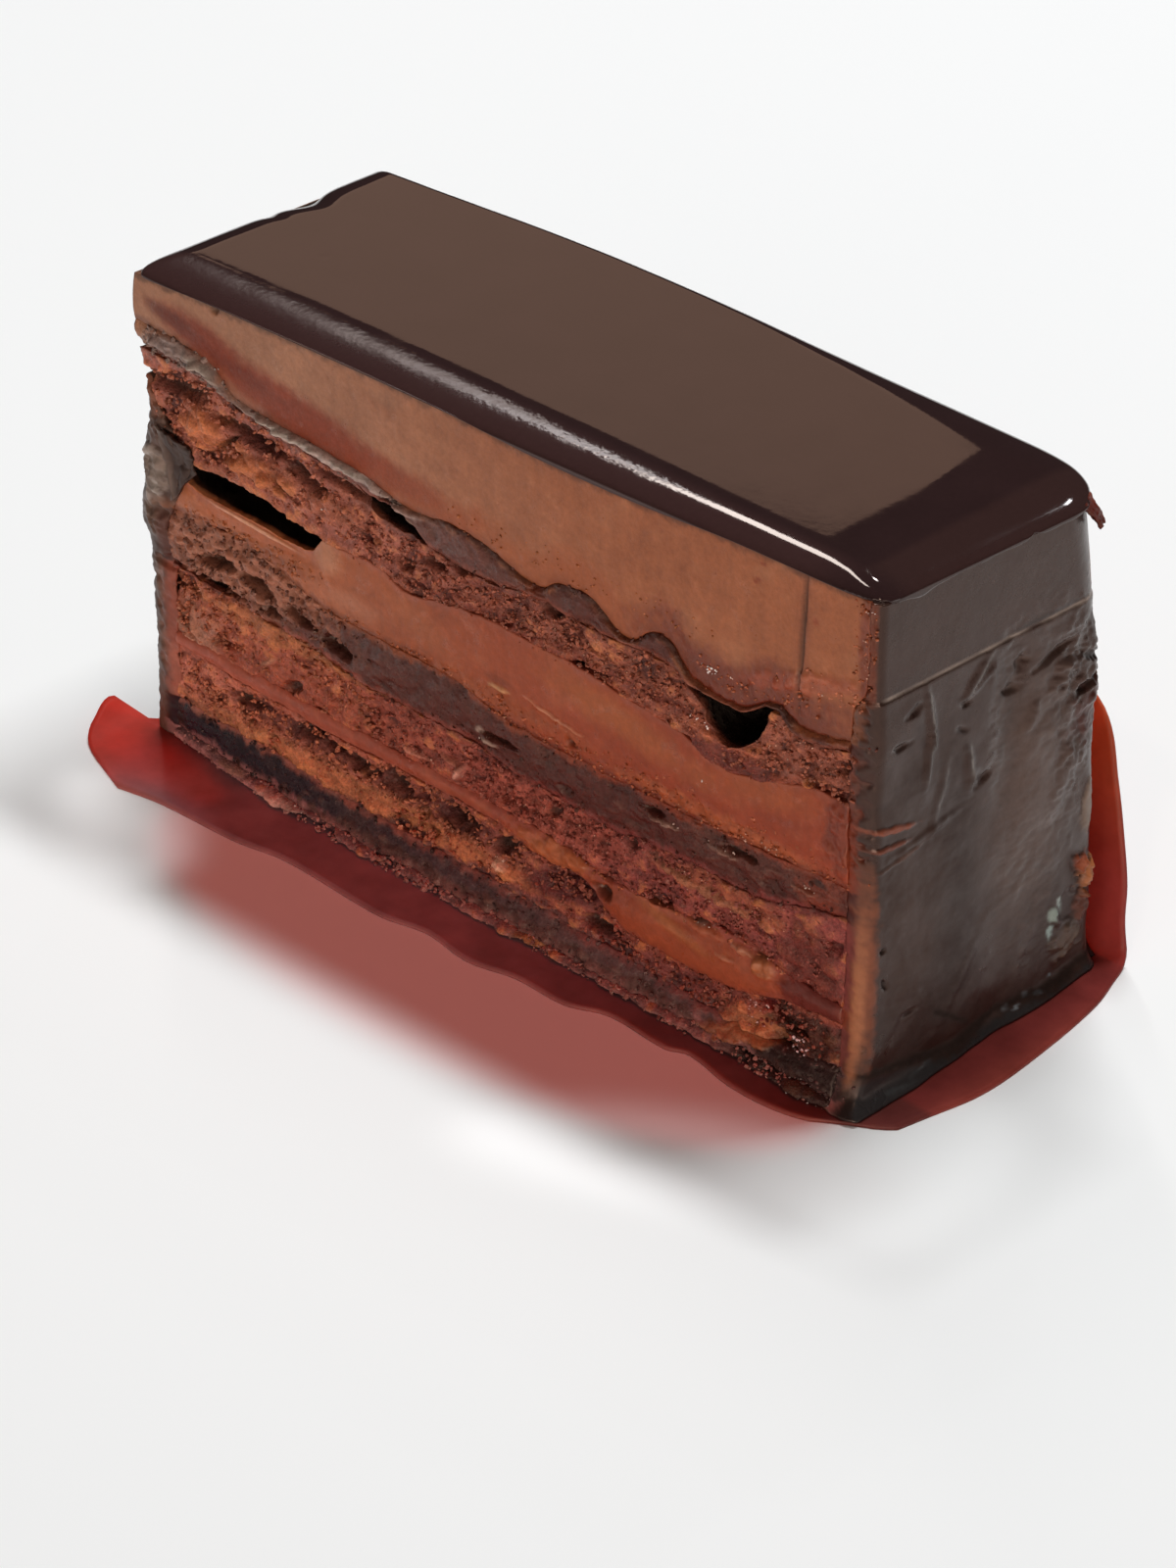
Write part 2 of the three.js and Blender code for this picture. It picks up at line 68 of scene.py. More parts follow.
def srgb(code: str) -> Colour:
    """Linear colour of a hex code.

    Args:
        code: six hex digits, with or without a leading hash.

    Returns:
        Red, green and blue in linear light.
    """
    digits = code.lstrip("#")
    parts = [int(digits[k : k + 2], 16) / 255 for k in (0, 2, 4)]
    return tuple(p / 12.92 if p <= 0.04045 else ((p + 0.055) / 1.055) ** 2.4 for p in parts)


def ease(value: Array, low: float, high: float) -> Array:
    """Smooth step of a value, from 0 at low to 1 at high."""
    t = np.clip((value - low) / (high - low), 0, 1)
    return t * t * (3 - 2 * t)


def mix(a: Array, b: Array, share: Array) -> Array:
    """Value a where share is 0 and b where it is 1."""
    return a + (b - a) * share


def tinted(tone: Array, code: str, share: Array) -> Array:
    """Colours, one a row, each moved towards a hex colour by its share, from 0 to 1."""
    return tone + (np.array(srgb(code)) - tone) * np.clip(share, 0, 1)[:, None]


def clouded(code: str, noise: Array) -> Array:
    """One colour a row, all of one hex colour but lighter or darker by a noise."""
    return np.array(srgb(code)) * (1 + noise)[:, None]


def dense_ends(share: Array, strength: float) -> Array:
    """Even shares from 0 to 1, drawn towards both ends by a strength from 0 to 1."""
    return mix(share, 0.5 - 0.5 * np.cos(np.pi * share), strength)


def bell(value: Array, middle: Array, width: float) -> Array:
    """Bell curve of height 1 round a middle."""
    return np.exp(-(((value - middle) / width) ** 2))


def rows(x: Array, y: Array, z: Array) -> Array:
    """Places, one a row, from their three coordinates; any may be one number for all."""
    return np.column_stack(np.broadcast_arrays(x, y, z))


def in_scene(name: str, data: bpy.types.ID) -> bpy.types.Object:
    """Puts a mesh, light or camera into the scene, as an object of its name."""
    item = bpy.data.objects.new(name, data)
    bpy.context.scene.collection.objects.link(item)
    return item


class Curve:
    """Smooth curve through stations, level beyond the first and last."""

    def __init__(self, stations: Stations) -> None:
        """Keeps the stations and the slope at each.

        Args:
            stations: pairs of position and value, in order of position.
        """
        self.at, self.value = (np.array(row, float) for row in zip(*stations))
        before = np.maximum(np.arange(len(self.at)) - 1, 0)
        after = np.minimum(np.arange(len(self.at)) + 1, len(self.at) - 1)
        rise = self.value[after] - self.value[before]
        self.slope = rise / (self.at[after] - self.at[before])

    def __call__(self, position: Array) -> Array:
        """Value of the curve.

        Args:
            position: where to read it.

        Returns:
            The value at each position.
        """
        position = np.asarray(position, float)
        k = np.clip(np.searchsorted(self.at, position, side="right") - 1, 0, len(self.at) - 2)
        span = self.at[k + 1] - self.at[k]
        t = np.clip((position - self.at[k]) / span, 0, 1)
        bend = self.value[k] * (1 + 2 * t) * (1 - t) ** 2 + self.value[k + 1] * t * t * (3 - 2 * t)
        lean = self.slope[k] * t * (1 - t) ** 2 - self.slope[k + 1] * t * t * (1 - t)
        return bend + lean * span


class Grain:
    """Seeded noise over arrays of points, one point a row, in millimetres."""

    TABLE = 256

    def __init__(self, seed: int) -> None:
        """Draws the tables that the noise reads.

        Args:
            seed: same seed, same noise.
        """
        draw = np.random.default_rng(seed)
        self.order = draw.permutation(self.TABLE)
        slopes = draw.normal(size=(self.TABLE, 3))
        self.slopes = slopes / np.linalg.norm(slopes, axis=1)[:, None]
        self.spots = draw.random((self.TABLE, 3))

    def _row(self, cell: Array) -> Array:
        """Table row of each lattice cell."""
        last = self.TABLE - 1
        row = self.order[cell[:, 0] & last]
        row = self.order[(row + cell[:, 1]) & last]
        return self.order[(row + cell[:, 2]) & last]

    def smooth(self, points: Array, size: float) -> Array:
        """Soft noise.

        Args:
            points: where to read it.
            size: width of its swells.

        Returns:
            About -1 to 1.
        """
        scaled = points / size
        cell = np.floor(scaled).astype(np.int64)
        part = scaled - cell
        blend = part**3 * (part * (part * 6 - 15) + 10)
        total = np.zeros(len(points))
        for corner in np.ndindex(2, 2, 2):
            slope = self.slopes[self._row(cell + corner)]
            weight = np.prod(np.where(corner, blend, 1 - blend), axis=1)
            total += weight * np.sum(slope * (part - corner), axis=1)
        return total * 1.5

    def fractal(self, points: Array, size: float, octaves: int = 3, gain: float = 0.5) -> Array:
        """Soft noise with finer noise on it.

        Args:
            points: where to read it.
            size: width of the broadest swells.
            octaves: how many noises are summed, each half as wide as the last.
            gain: strength of each against the last.

        Returns:
            About -1 to 1.
        """
        total, strength, whole = np.zeros(len(points)), 1.0, 0.0
        for k in range(octaves):
            total += strength * self.smooth(points + 31.7 * k, size / 2**k)
            whole += strength
            strength *= gain
        return total / whole

    def cells(self, points: Array, size: float) -> tuple[Array, Array, Array]:
        """Cell noise.

        Args:
            points: where to read it.
            size: width of a cell.

        Returns:
            Distance to the nearest spot and to the second nearest, in cells, and a random
            number from 0 to 1 that belongs to the nearest.
        """
        scaled = points / size
        cell = np.floor(scaled).astype(np.int64)
        near = np.full(len(points), 9.0)
        second = near.copy()
        lot = np.zeros(len(points))
        for step in np.ndindex(3, 3, 3):
            corner = cell + np.array(step) - 1
            row = self._row(corner)
            away = np.linalg.norm(corner + self.spots[row] - scaled, axis=1)
            closer = away < near
            second = np.where(closer, near, np.minimum(second, away))
            near = np.where(closer, away, near)
            lot = np.where(closer, row / self.TABLE, lot)
        return near, second, lot


# ------------------------------------------------------------------ finishes


class Nodes:
    """A material's node tree, built a node at a time."""

    def __init__(self, name: str) -> None:
        """Starts an empty material.

        Args:
            name: the material's name.
        """
        self.material = bpy.data.materials.new(name)
        self.material.use_nodes = True
        self.tree = self.material.node_tree
        self.tree.nodes.clear()

    def add(self, kind: str, settings: dict | None = None, **inputs: Value) -> bpy.types.Node:
        """Adds a node.

        Args:
            kind: Blender's name of the node's type.
            settings: its properties.
            **inputs: plain values or output sockets, by input name with _ for each space.

        Returns:
            The node.
        """
        node = self.tree.nodes.new(kind)
        for name, value in (settings or {}).items():
            setattr(node, name, value)
        for name, value in inputs.items():
            self.feed(node.inputs[name.replace("_", " ")], value)
        return node

    def feed(self, socket: Socket, value: Value) -> None:
        """Gives an input what it reads.

        Args:
            socket: the input.
            value: a plain value or another node's output.
        """
        if isinstance(value, Socket):
            self.tree.links.new(value, socket)
        else:
            socket.default_value = value

    def made(self, kind: str, settings: dict, inputs: dict[int, Value], output: int = 0) -> Socket:
        """Adds a node whose inputs share a name, so that they go by number.

        Args:
            kind: Blender's name of the node's type.
            settings: its properties.
            inputs: plain values or output sockets, by input number.
            output: the number of the output that is read.

        Returns:
            That output.
        """
        node = self.add(kind, settings)
        for number, value in inputs.items():
            self.feed(node.inputs[number], value)
        return node.outputs[output]

    def attribute(self, name: str, output: str) -> Socket:
        """A painted attribute's socket: its Color or its Fac."""
        return self.add("ShaderNodeAttribute", {"attribute_name": name}).outputs[output]

    def grey(self, value: Socket) -> Socket:
        """A grey of a value's strength."""
        return self.add("ShaderNodeCombineColor", Red=value, Green=value, Blue=value).outputs[0]

    def math(self, operation: str, first: Socket, second: Value) -> Socket:
        """Combines two values by Blender's operation of that name, kept from 0 to 1."""
        return self.made("ShaderNodeMath", {"operation": operation, "use_clamp": True}, {0: first, 1: second})

    def blended(self, share: Value, first: Socket, second: Socket) -> Socket:
        """Blends two shaders, with a share of the second."""
        return self.made("ShaderNodeMixShader", {}, {0: share, 1: first, 2: second})

    def mixed(self, share: Value, first: Value, second: Value, blend: str = "MIX") -> Socket:
        """Mixes two colours by Blender's blend of that name, with a share of the second."""
        settings = {"data_type": "RGBA", "blend_type": blend, "clamp_factor": True}
        return self.made("ShaderNodeMix", settings, {0: share, 6: first, 7: second}, 2)

    def noise(self, size: float, detail: float = 4, rough: float = 0.6) -> Socket:
        """Noise over the piece, its swells of a size in millimetres, by its own coordinates."""
        where = self.add("ShaderNodeTexCoord").outputs["Object"]
        return self.add(
            "ShaderNodeTexNoise", Vector=where, Scale=1 / (size * MM), Detail=detail, Roughness=rough
        ).outputs[0]

    def ramp(self, value: Socket, low: float, high: float, to_low: float, to_high: float) -> Socket:
        """Maps a value's range, from low to high, to another."""
        inputs = {0: value, 1: low, 2: high, 3: to_low, 4: to_high}
        return self.made("ShaderNodeMapRange", {"clamp": True}, inputs)

    def bump(self, height: Socket, depth: float, strength: float = 1.0,
             under: Socket | None = None) -> Socket:
        """Relief in the shading, of a depth in millimetres, on another bump's normal if given."""
        extra = {} if under is None else {"Normal": under}
        return self.add(
            "ShaderNodeBump", Height=height, Distance=depth * MM, Strength=strength, **extra
        ).outputs[0]

    def surface(self, shader: Socket) -> bpy.types.Material:
        """Ends the tree with a shader.

        Args:
            shader: what the surface shows.

        Returns:
            The finished material.
        """
        out = self.add("ShaderNodeOutputMaterial")
        self.tree.links.new(shader, out.inputs["Surface"])
        return self.material


@dataclass(frozen=True)
class CutFinish:
    """A cut layer's finish: its painted tone, speckled, with fine relief and moist spots.

    Attributes:
        name: the material's name.
        rough: roughness of the plain surface.
        wet_rough: roughness where it is moist.
        speck_size: width of the specks.
        speck: how far the specks darken and lighten the tone.
        relief: depth of the fine relief.
        relief_size: width of its swells.
        moist: share of the surface that glistens.
        soft: how much light passes into it.
    """

    name: str
    rough: float
    wet_rough: float
    speck_size: float
    speck: float
    relief: float
    relief_size: float
    moist: float = 0.1
    soft: float = 0.0

    def material(self) -> bpy.types.Material:
        """The finish as a material."""
        nodes = Nodes(self.name)
        tone = nodes.attribute("tone", "Color")
        speck = nodes.noise(self.speck_size, 5, 0.7)
        shade = nodes.ramp(speck, 0.36, 0.64, 1 - self.speck, 1 + self.speck)
        colour = nodes.mixed(1.0, tone, nodes.grey(shade), "MULTIPLY")
        fine = nodes.noise(self.relief_size, 6, 0.65)
        coarse = nodes.noise(self.relief_size * 3.5, 3, 0.55)
        normal = nodes.bump(coarse, self.relief * 2, 0.7)
        normal = nodes.bump(fine, self.relief, 0.9, normal)
        glisten = nodes.ramp(coarse, 0.66 - self.moist, 0.72 - self.moist, 0, 1)
        wet = nodes.math("MAXIMUM", nodes.attribute("wet", "Fac"), glisten)
        drop = nodes.math("MULTIPLY", wet, self.rough - self.wet_rough)
        dry = nodes.ramp(fine, 0.3, 0.7, self.rough - 0.08, self.rough + 0.12)
        shader = nodes.add(
            "ShaderNodeBsdfPrincipled", Base_Color=colour, Roughness=nodes.math("SUBTRACT", dry, drop),
            Normal=normal, IOR=1.45, Specular_Tint=(1.0, 0.8, 0.66, 1), Subsurface_Weight=self.soft,
            Subsurface_Scale=0.8 * MM, Subsurface_Radius=(1.0, 0.45, 0.25),
        )
        return nodes.surface(shader.outputs[0])


@dataclass(frozen=True)
class GlossFinish:
    """A glossy chocolate finish: painted tone under a clear, faintly rippled skin.

    Attributes:
        name: the material's name.
        rough: roughness of the skin.
        smear: how far the roughness wanders.
        ripple: depth of the fine ripples.
        ripple_size: their width.
        speck: how far fine specks darken and lighten the tone.
        tint: colour of what it mirrors.
        beading: depth of the fine beads where it is dull.
    """

    name: str
    rough: float
    smear: float
    ripple: float
    ripple_size: float
    speck: float
    tint: Colour = (1.0, 0.82, 0.74)
    beading: float = 0.0

    def material(self) -> bpy.types.Material:
        """The finish as a material."""
        nodes = Nodes(self.name)
        tone = nodes.attribute("tone", "Color")
        shade = nodes.ramp(nodes.noise(0.5, 4, 0.6), 0.3, 0.7, 1 - self.speck, 1 + self.speck)
        colour = nodes.mixed(1.0, tone, nodes.grey(shade), "MULTIPLY")
        cloud = nodes.ramp(nodes.noise(4.5, 5, 0.6), 0.35, 0.65, self.rough, self.rough + self.smear)
        rough = nodes.math("ADD", cloud, nodes.attribute("wet", "Fac"))
        normal = nodes.bump(nodes.noise(self.ripple_size, 3, 0.5), self.ripple)
        if self.beading:
            beaded = nodes.math("MULTIPLY", nodes.attribute("wet", "Fac"), 40)
            beads = nodes.math("MULTIPLY", nodes.noise(0.6, 2, 0.5), beaded)
            normal = nodes.bump(beads, self.beading, under=normal)
        shader = nodes.add(
            "ShaderNodeBsdfPrincipled", Base_Color=colour, Roughness=rough, Normal=normal, IOR=1.5,
            Specular_Tint=(*self.tint, 1),
        )
        return nodes.surface(shader.outputs[0])


@dataclass(frozen=True)
class FilmFinish:
    """Tinted film: a pigmented skin that glows against the light and lets part of it through.

    Attributes:
        name: the material's name.
        through: colour that passing light takes.
        clear: share of the light that passes straight.
        glow: share of the rest that it scatters forwards.
        rough: roughness of the skin.
    """

    name: str
    through: str
    clear: float
    glow: float
    rough: float

    def material(self) -> bpy.types.Material:
        """The finish as a material."""
        nodes = Nodes(self.name)
        tone = nodes.attribute("tone", "Color")
        cloud = nodes.ramp(nodes.noise(5, 4, 0.6), 0.3, 0.7, 0.8, 1.2)
        colour = nodes.mixed(1.0, tone, nodes.grey(cloud), "MULTIPLY")
        crinkle = nodes.bump(nodes.noise(3.5, 3, 0.5), 0.08)
        skin = nodes.add(
            "ShaderNodeBsdfPrincipled", Base_Color=colour, Roughness=self.rough, Normal=crinkle, IOR=1.45,
            Specular_Tint=(1.0, 0.75, 0.65, 1),
        )
        glowing = nodes.add("ShaderNodeBsdfTranslucent", Color=colour)
        passing = nodes.add("ShaderNodeBsdfTransparent", Color=(*srgb(self.through), 1))
        body = nodes.blended(self.glow, skin.outputs[0], glowing.outputs[0])
        return nodes.surface(nodes.blended(self.clear, body, passing.outputs[0]))


@dataclass(frozen=True)
class FloorFinish:
    """The studio floor: pale, even and slightly glossy.

    Attributes:
        name: the material's name.
        colour: its colour.
        rough: its roughness.
    """

    name: str
    colour: str
    rough: float

    def material(self) -> bpy.types.Material:
        """The finish as a material."""
        nodes = Nodes(self.name)
        shader = nodes.add(
            "ShaderNodeBsdfPrincipled", Base_Color=(*srgb(self.colour), 1), Roughness=self.rough, IOR=1.45
        )
        return nodes.surface(shader.outputs[0])


Finish = CutFinish | GlossFinish | FilmFinish


# ------------------------------------------------------------------ meshes and pieces


def block(along: int, across: int, up: int) -> bmesh.types.BMesh:
    """Cube of side 1 about the origin, cut into even strips each way.

    Args:
        along: strips along x.
        across: strips along y.
        up: strips along z.

    Returns:
        The cut cube.
    """
    shape = bmesh.new()
    bmesh.ops.create_cube(shape, size=1)
    for axis, strips in enumerate((along, across, up)):
        if strips > 1:
            whole = [e for e in shape.edges if abs(e.verts[0].co[axis] - e.verts[1].co[axis]) > 0.9]
            bmesh.ops.subdivide_edges(shape, edges=whole, cuts=strips - 1, use_grid_fill=True)
    return shape


class Placement:
    """Where the slice's axes lie in the frame."""

    def __init__(self, outline: "Outline") -> None:
        """Reads the place from the glaze's box, whose corner is on the slice's left front edge.

        Args:
            outline: the slice's outer faces.
        """
        low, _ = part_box("glaze_top")
        corner_x = float(outline.left(outline.top))
        self.shift = np.array([low.x - corner_x * MM, low.y + outline.glaze_proud * MM, 0.0])

    def metres(self, points: Array) -> Array:
        """Points of the slice's axes, in the frame's metres."""
        return points * MM + self.shift


@dataclass
class Coated:
    """What a built surface shows at each of its points.

    Attributes:
        points: places, in millimetres.
        tone: linear colours.
        wet: moisture or dullness, from 0 to 1.
    """

    points: Array
    tone: Array
    wet: Array


class Maker:
    """Turns built shapes into pieces of the scene."""

    def __init__(self, placement: Placement) -> None:
        """Keeps where the slice lies, and the finishes made so far."""
        self.placement = placement
        self.materials: dict[str, bpy.types.Material] = {}

    def piece(self, name: str, shape: bmesh.types.BMesh, coated: Coated, finish: Finish, slot: str,
              stands_for: tuple[str, ...] = (), smooth: bool = True) -> None:
        """Places a shape as a piece that rides on the slice.

        Args:
            name: the piece's name.
            shape: its faces; it is freed.
            coated: place, colour and moisture of its points, in the shape's order.
            finish: what its surface is.
            slot: not used.
            stands_for: the nodes it replaces.
            smooth: whether its faces are shaded as one surface.
        """
        mesh = bpy.data.meshes.new(name)
        shape.to_mesh(mesh)
        shape.free()
        mesh.vertices.foreach_set("co", self.placement.metres(coated.points).astype(np.float32).ravel())
        tone = np.column_stack([np.clip(coated.tone, 0, 1), np.ones(len(coated.tone))])
        mesh.attributes.new("tone", "FLOAT_COLOR", "POINT").data.foreach_set(
            "color", tone.astype(np.float32).ravel()
        )
        mesh.attributes.new("wet", "FLOAT", "POINT").data.foreach_set(
            "value", coated.wet.astype(np.float32)
        )
        mesh.polygons.foreach_set("use_smooth", np.full(len(mesh.polygons), smooth))
        mesh.update()
        if finish.name not in self.materials:
            self.materials[finish.name] = finish.material()
        mesh.materials.append(self.materials[finish.name])
        piece = in_scene(name, mesh)
        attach(piece, "root")
        if stands_for:
            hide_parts(*stands_for)
        LOG.info("%s: %d faces", name, len(mesh.polygons))


def points_of(shape: bmesh.types.BMesh) -> Array:
    """Places of a shape's points, one a row, in the order that a mesh made of it keeps."""
    shape.verts.ensure_lookup_table()
    return np.array([v.co[:] for v in shape.verts])


def shares_of(shape: bmesh.types.BMesh) -> Array:
    """Shares from 0 to 1 of a shape of side 1 about the origin: a row each for x, y and z."""
    return (points_of(shape) + 0.5).T


# ------------------------------------------------------------------ the slice's outline


@dataclass(frozen=True)
class Outline:
    """Outer faces of the slice.

    Attributes:
        length: left end to glazed right end.
        depth: cut face to back face.
        top: flat of the glaze.
        floor: underside of the lowest layer.
        foot_swell: how far the foot bulges out of the cut face.
        foot_height: height over which that bulge fades.
        corner_setback: how far back the glazed end's upper front corner lies.
        back_foot: the back face at the foot.
        coat: thickness of the coats on the two ends.
        wrap_reach: how far in from the cut face a coat stays thicker.
        left_coat_top: height of the left coat.
        glaze_proud: how far the glaze stands out over the cut face.
        foot_share: share of the foot's bulge along the cut face.
        back_top: the back face at the top, along the slice.
        left_face: the left end at each height.
        left_wrap: how much thicker the left coat is at the cut face, by height.
        right_wrap: the same for the right coat.
    """

    length: float = 90.0
    depth: float = 30.0
    top: float = 49.5
    floor: float = 0.5
    foot_swell: float = 3.2
    foot_height: float = 2.6
    corner_setback: float = 0.9
    back_foot: float = 31.0
    coat: float = 1.1
    wrap_reach: float = 3.0
    left_coat_top: float = 36.0
    glaze_proud: float = 0.3
    foot_share: Curve = Curve(((0, 0.1), (12, 0.65), (26, 1), (78, 1), (85, 1.1), (90, 0.8)))
    back_top: Curve = Curve((
        (0, 29.9), (30, 31.4), (62, 30.7), (80, 30.1), (85, 29.6), (88, 28.7), (90, 27.7),
    ))
    left_face: Curve = Curve((
        (0, -0.4), (20, -0.3), (23, -0.9), (27, -0.4), (34, 0.6), (37, 0.7), (40, 0), (44, -0.9),
        (49.5, -0.4),
    ))
    left_wrap: Curve = Curve((
        (0, 1.9), (20, 2), (24, 2.3), (28, 3.9), (31, 3.6), (34, 1.8), (37, 0.2), (39, 0),
    ))
    right_wrap: Curve = Curve(((0, 1.6), (22, 1.5), (30, 1.7), (38, 1.4), (40, 0.1), (49.5, 0)))

    def front(self, x: Array, z: Array) -> Array:
        """The cut face's y at each point."""
        swell = self.foot_swell * self.foot_share(x) * np.exp(-np.maximum(z, 0) / self.foot_height)
        return self.corner_setback * (x / self.length) ** 3 * (z / self.top) - swell

    def back(self, x: Array, z: Array) -> Array:
        """The back face's y at each point."""
        return mix(self.back_foot, self.back_top(x), z / self.top)

    def left(self, z: Array) -> Array:
        """The left end's x at each height."""
        return self.left_face(z)

    def right(self, y: Array, z: Array) -> Array:
        """The right end's x at each point; it twists a little from foot to rim."""
        foot = self.length + 0.4 - y / self.depth
        rim = self.length - 0.3 + 1.1 * y / self.depth
        return mix(foot, rim, z / self.top)

    def wrap(self, x: Array, y: Array, z: Array) -> Array:
        """1 at the cut face, falling to 0 where the coats have their plain thickness."""
        return np.clip((self.wrap_reach - y) / (self.wrap_reach - self.front(x, z)), 0, 1)

    def left_coat(self, y: Array, z: Array) -> Array:
        """Thickness of the coat on the left end."""
        thinning = 1 - ease(z, self.left_coat_top - 4, self.left_coat_top + 1.5)
        return self.coat * thinning + self.left_wrap(z) * self.wrap(0, y, z)

    def right_coat(self, y: Array, z: Array) -> Array:
        """Thickness of the coat on the right end."""
        return self.coat + self.right_wrap(z) * self.wrap(self.length, y, z)

    def back_round(self, y: Array, z: Array) -> Array:
        """How far the right end's back corner is rounded off at each point."""
        share = (self.back(self.length, z) - y) / (1.5 + 0.8 * z / self.top + 3.2 * (z / self.top) ** 6)
        depth = 1.2 + 1.1 * (z / self.top) ** 2 + 2.2 * (z / self.top) ** 6
        return depth * (1 - np.sqrt(1 - np.clip(1 - share, 0, 1) ** 2))


# ------------------------------------------------------------------ marks on a face


class Anchor(Enum):
    """What a mark's height is measured from."""

    FACE = "the liner's underside"
    ROOF = "the layer's upper seam"
    FLOOR = "the layer's lower seam"


@dataclass(frozen=True)
class Mark:
    """A local patch on a face: a pit, lump, stain or streak, or painted shade, highlight or glint.

    Attributes:
        x: its middle, along the face.
        z: its middle, up the face from its anchor.
        half_x: half its length.
        half_z: half its height.
        colour: what it is tinted to, if anything.
        share: how much of that colour it takes.
        push: how far it stands out, or sinks in if negative.
        turn: how far its long side is turned up, in degrees.
        soft: how gently it fades, as a share of its size.
        wobble: unevenness of its rim.
        rough: extra crumb in it.
        wet: moisture in it.
        anchor: what z is measured from.
    """

    x: float
    z: float
    half_x: float
    half_z: float
    colour: str = ""
    share: float = 1.0
    push: float = 0.0
    turn: float = 0.0
    soft: float = 0.35
    wobble: float = 0.3
    rough: float = 0.0
    wet: float = 0.0
    anchor: Anchor = Anchor.FACE

    def weight(self, noise: Array, x: Array, z: Array) -> Array:
        """Strength of the mark at each point.

        Args:
            noise: unevenness of its rim at each point, about -1 to 1.
            x: along the face.
            z: up the face, from the mark's anchor.

        Returns:
            From 0 outside it to 1 in its middle.
        """
        cos, sin = math.cos(math.radians(self.turn)), math.sin(math.radians(self.turn))
        u = (cos * (x - self.x) + sin * (z - self.z)) / self.half_x
        v = (cos * (z - self.z) - sin * (x - self.x)) / self.half_z
        reach = np.sqrt(u * u + v * v) + 1.9 * self.wobble * noise
        return 1 - ease(reach, 1 - self.soft, 1 + self.soft)


# painted shade: the near-black colour of holes in the cut faces
PIT_SHADE = "#24120e"


def pit(x: float, z: float, half_x: float, half_z: float, depth: float = 1.2, **more: float) -> Mark:
    """A hole in a cut face, painted dark as shade."""
    return Mark(x, z, half_x, half_z, PIT_SHADE, 0.9, push=-depth, **more)


# ------------------------------------------------------------------ layers


@dataclass(frozen=True)
class CutTexture:
    """Relief that a knife leaves in one kind of layer.

    Attributes:
        heave: height of broad swells.
        heave_size: their width.
        fine: height of fine roughness.
        fine_size: its width.
        crumb: height of rounded crumbs.
        crumb_size: their width.
        crevice: depth of dark crevices.
        crevice_size: their spacing.
        crevice_level: how rare they are, from 0 to 1.
        stretch: how much longer all of it is along the layer.
        ragged: unevenness of the layer's lower seam.
    """

    heave: float
    heave_size: float
    fine: float
    fine_size: float
    crumb: float = 0.0
    crumb_size: float = 1.0
    crevice: float = 0.0
    crevice_size: float = 2.0
    crevice_level: float = 0.9
    stretch: float = 1.0
    ragged: float = 0.1

    def relief(self, grain: Grain, points: Array, extra: Array) -> tuple[Array, Array, Array]:
        """Relief of a cut face.

        Args:
            grain: the noise to read.
            points: where to read it.
            extra: more crumb at each point.

        Returns:
            How far each point stands out, how proud it is among its neighbours from about -1
            to 1, and how deep in a crevice it lies from 0 to 1.
        """
        warp = np.column_stack([grain.smooth(points + 7 * k, 1.5) for k in range(3)])
        bent = (points + 0.3 * warp) / (self.stretch, 1, 1)
        broad = grain.fractal(bent, self.heave_size, 2)
        small = grain.fractal(bent + 9, self.fine_size, 3, 0.65)
        near, _, lot = grain.cells(bent, self.crumb_size)
        dome = np.clip(1 - 1.5 * near * near, 0, 1) * (0.5 + 0.5 * lot) - 0.4
        gap = grain.fractal(bent / (1.5, 1, 1) + 77, self.crevice_size, 3, 0.6)
        crack = ease(gap, self.crevice_level * 0.5, self.crevice_level * 0.5 + 0.22)
        grainy = self.crumb + extra
        out = self.heave * broad + self.fine * small + grainy * dome - self.crevice * crack
        proud = 0.5 * broad + 1.1 * small + 1.6 * dome * np.clip(grainy / 0.35, 0, 1)
        return out, proud, crack


@dataclass(frozen=True)
class Ware:
    """One kind of layer: its texture, colours and finish.

    Attributes:
        texture: relief of its cut faces.
        light: pale colour for its pale clouds, and painted highlight on what stands out.
        deep: dark colour for its dark clouds, and painted shade in its crevices and hollows.
        finish: its surface.
        slot: the kind of layer it is, which crumbs match.
        contrast: how far its colour follows its relief, as painted light and shade.
        streak: how far its colour changes in upright streaks.
        drift: how far its colour wanders in broad clouds.
    """

    texture: CutTexture
    light: str
    deep: str
    finish: CutFinish
    slot: str
    contrast: float = 0.5
    streak: float = 0.0
    drift: float = 0.3


@dataclass(frozen=True)
class Hollow:
    """An air pocket under a layer, open at the cut face.

    Attributes:
        under: the layer whose underside is its roof.
        drop: how far the next layer lies below, along x.
        reach: how far it reaches in.
        lit: how far in from the cut face its floor is lit.
        floor: painted light, the colour of its lit floor.
    """

    under: str
    drop: Curve
    reach: float
    lit: float
    floor: str = "#7a4030"


@dataclass(frozen=True)
class Layer:
    """One layer of the slice.

    Attributes:
        name: its node's name.
        ware: what it is made of.
        under: its underside along the cut face.
        thinnest: thickness it never goes under.
        belly: how far the middle of its cut edge stands out.
        strips: rows of faces up its cut face.
        shades: its colour at the left end and at the right end.
        marks: patches on its cut face.
    """

    name: str
    ware: Ware
    under: Curve | None
    thinnest: float
    belly: float
    strips: int
    shades: tuple[str, str]
    marks: tuple[Mark, ...] = ()

    def colour(self, along: Array) -> Array:
        """Plain colour at each share of the way from the left end to the right."""
        left, right = (np.array(srgb(shade)) for shade in self.shades)
        return left + (right - left) * ease(along, 0.12, 0.75)[:, None]


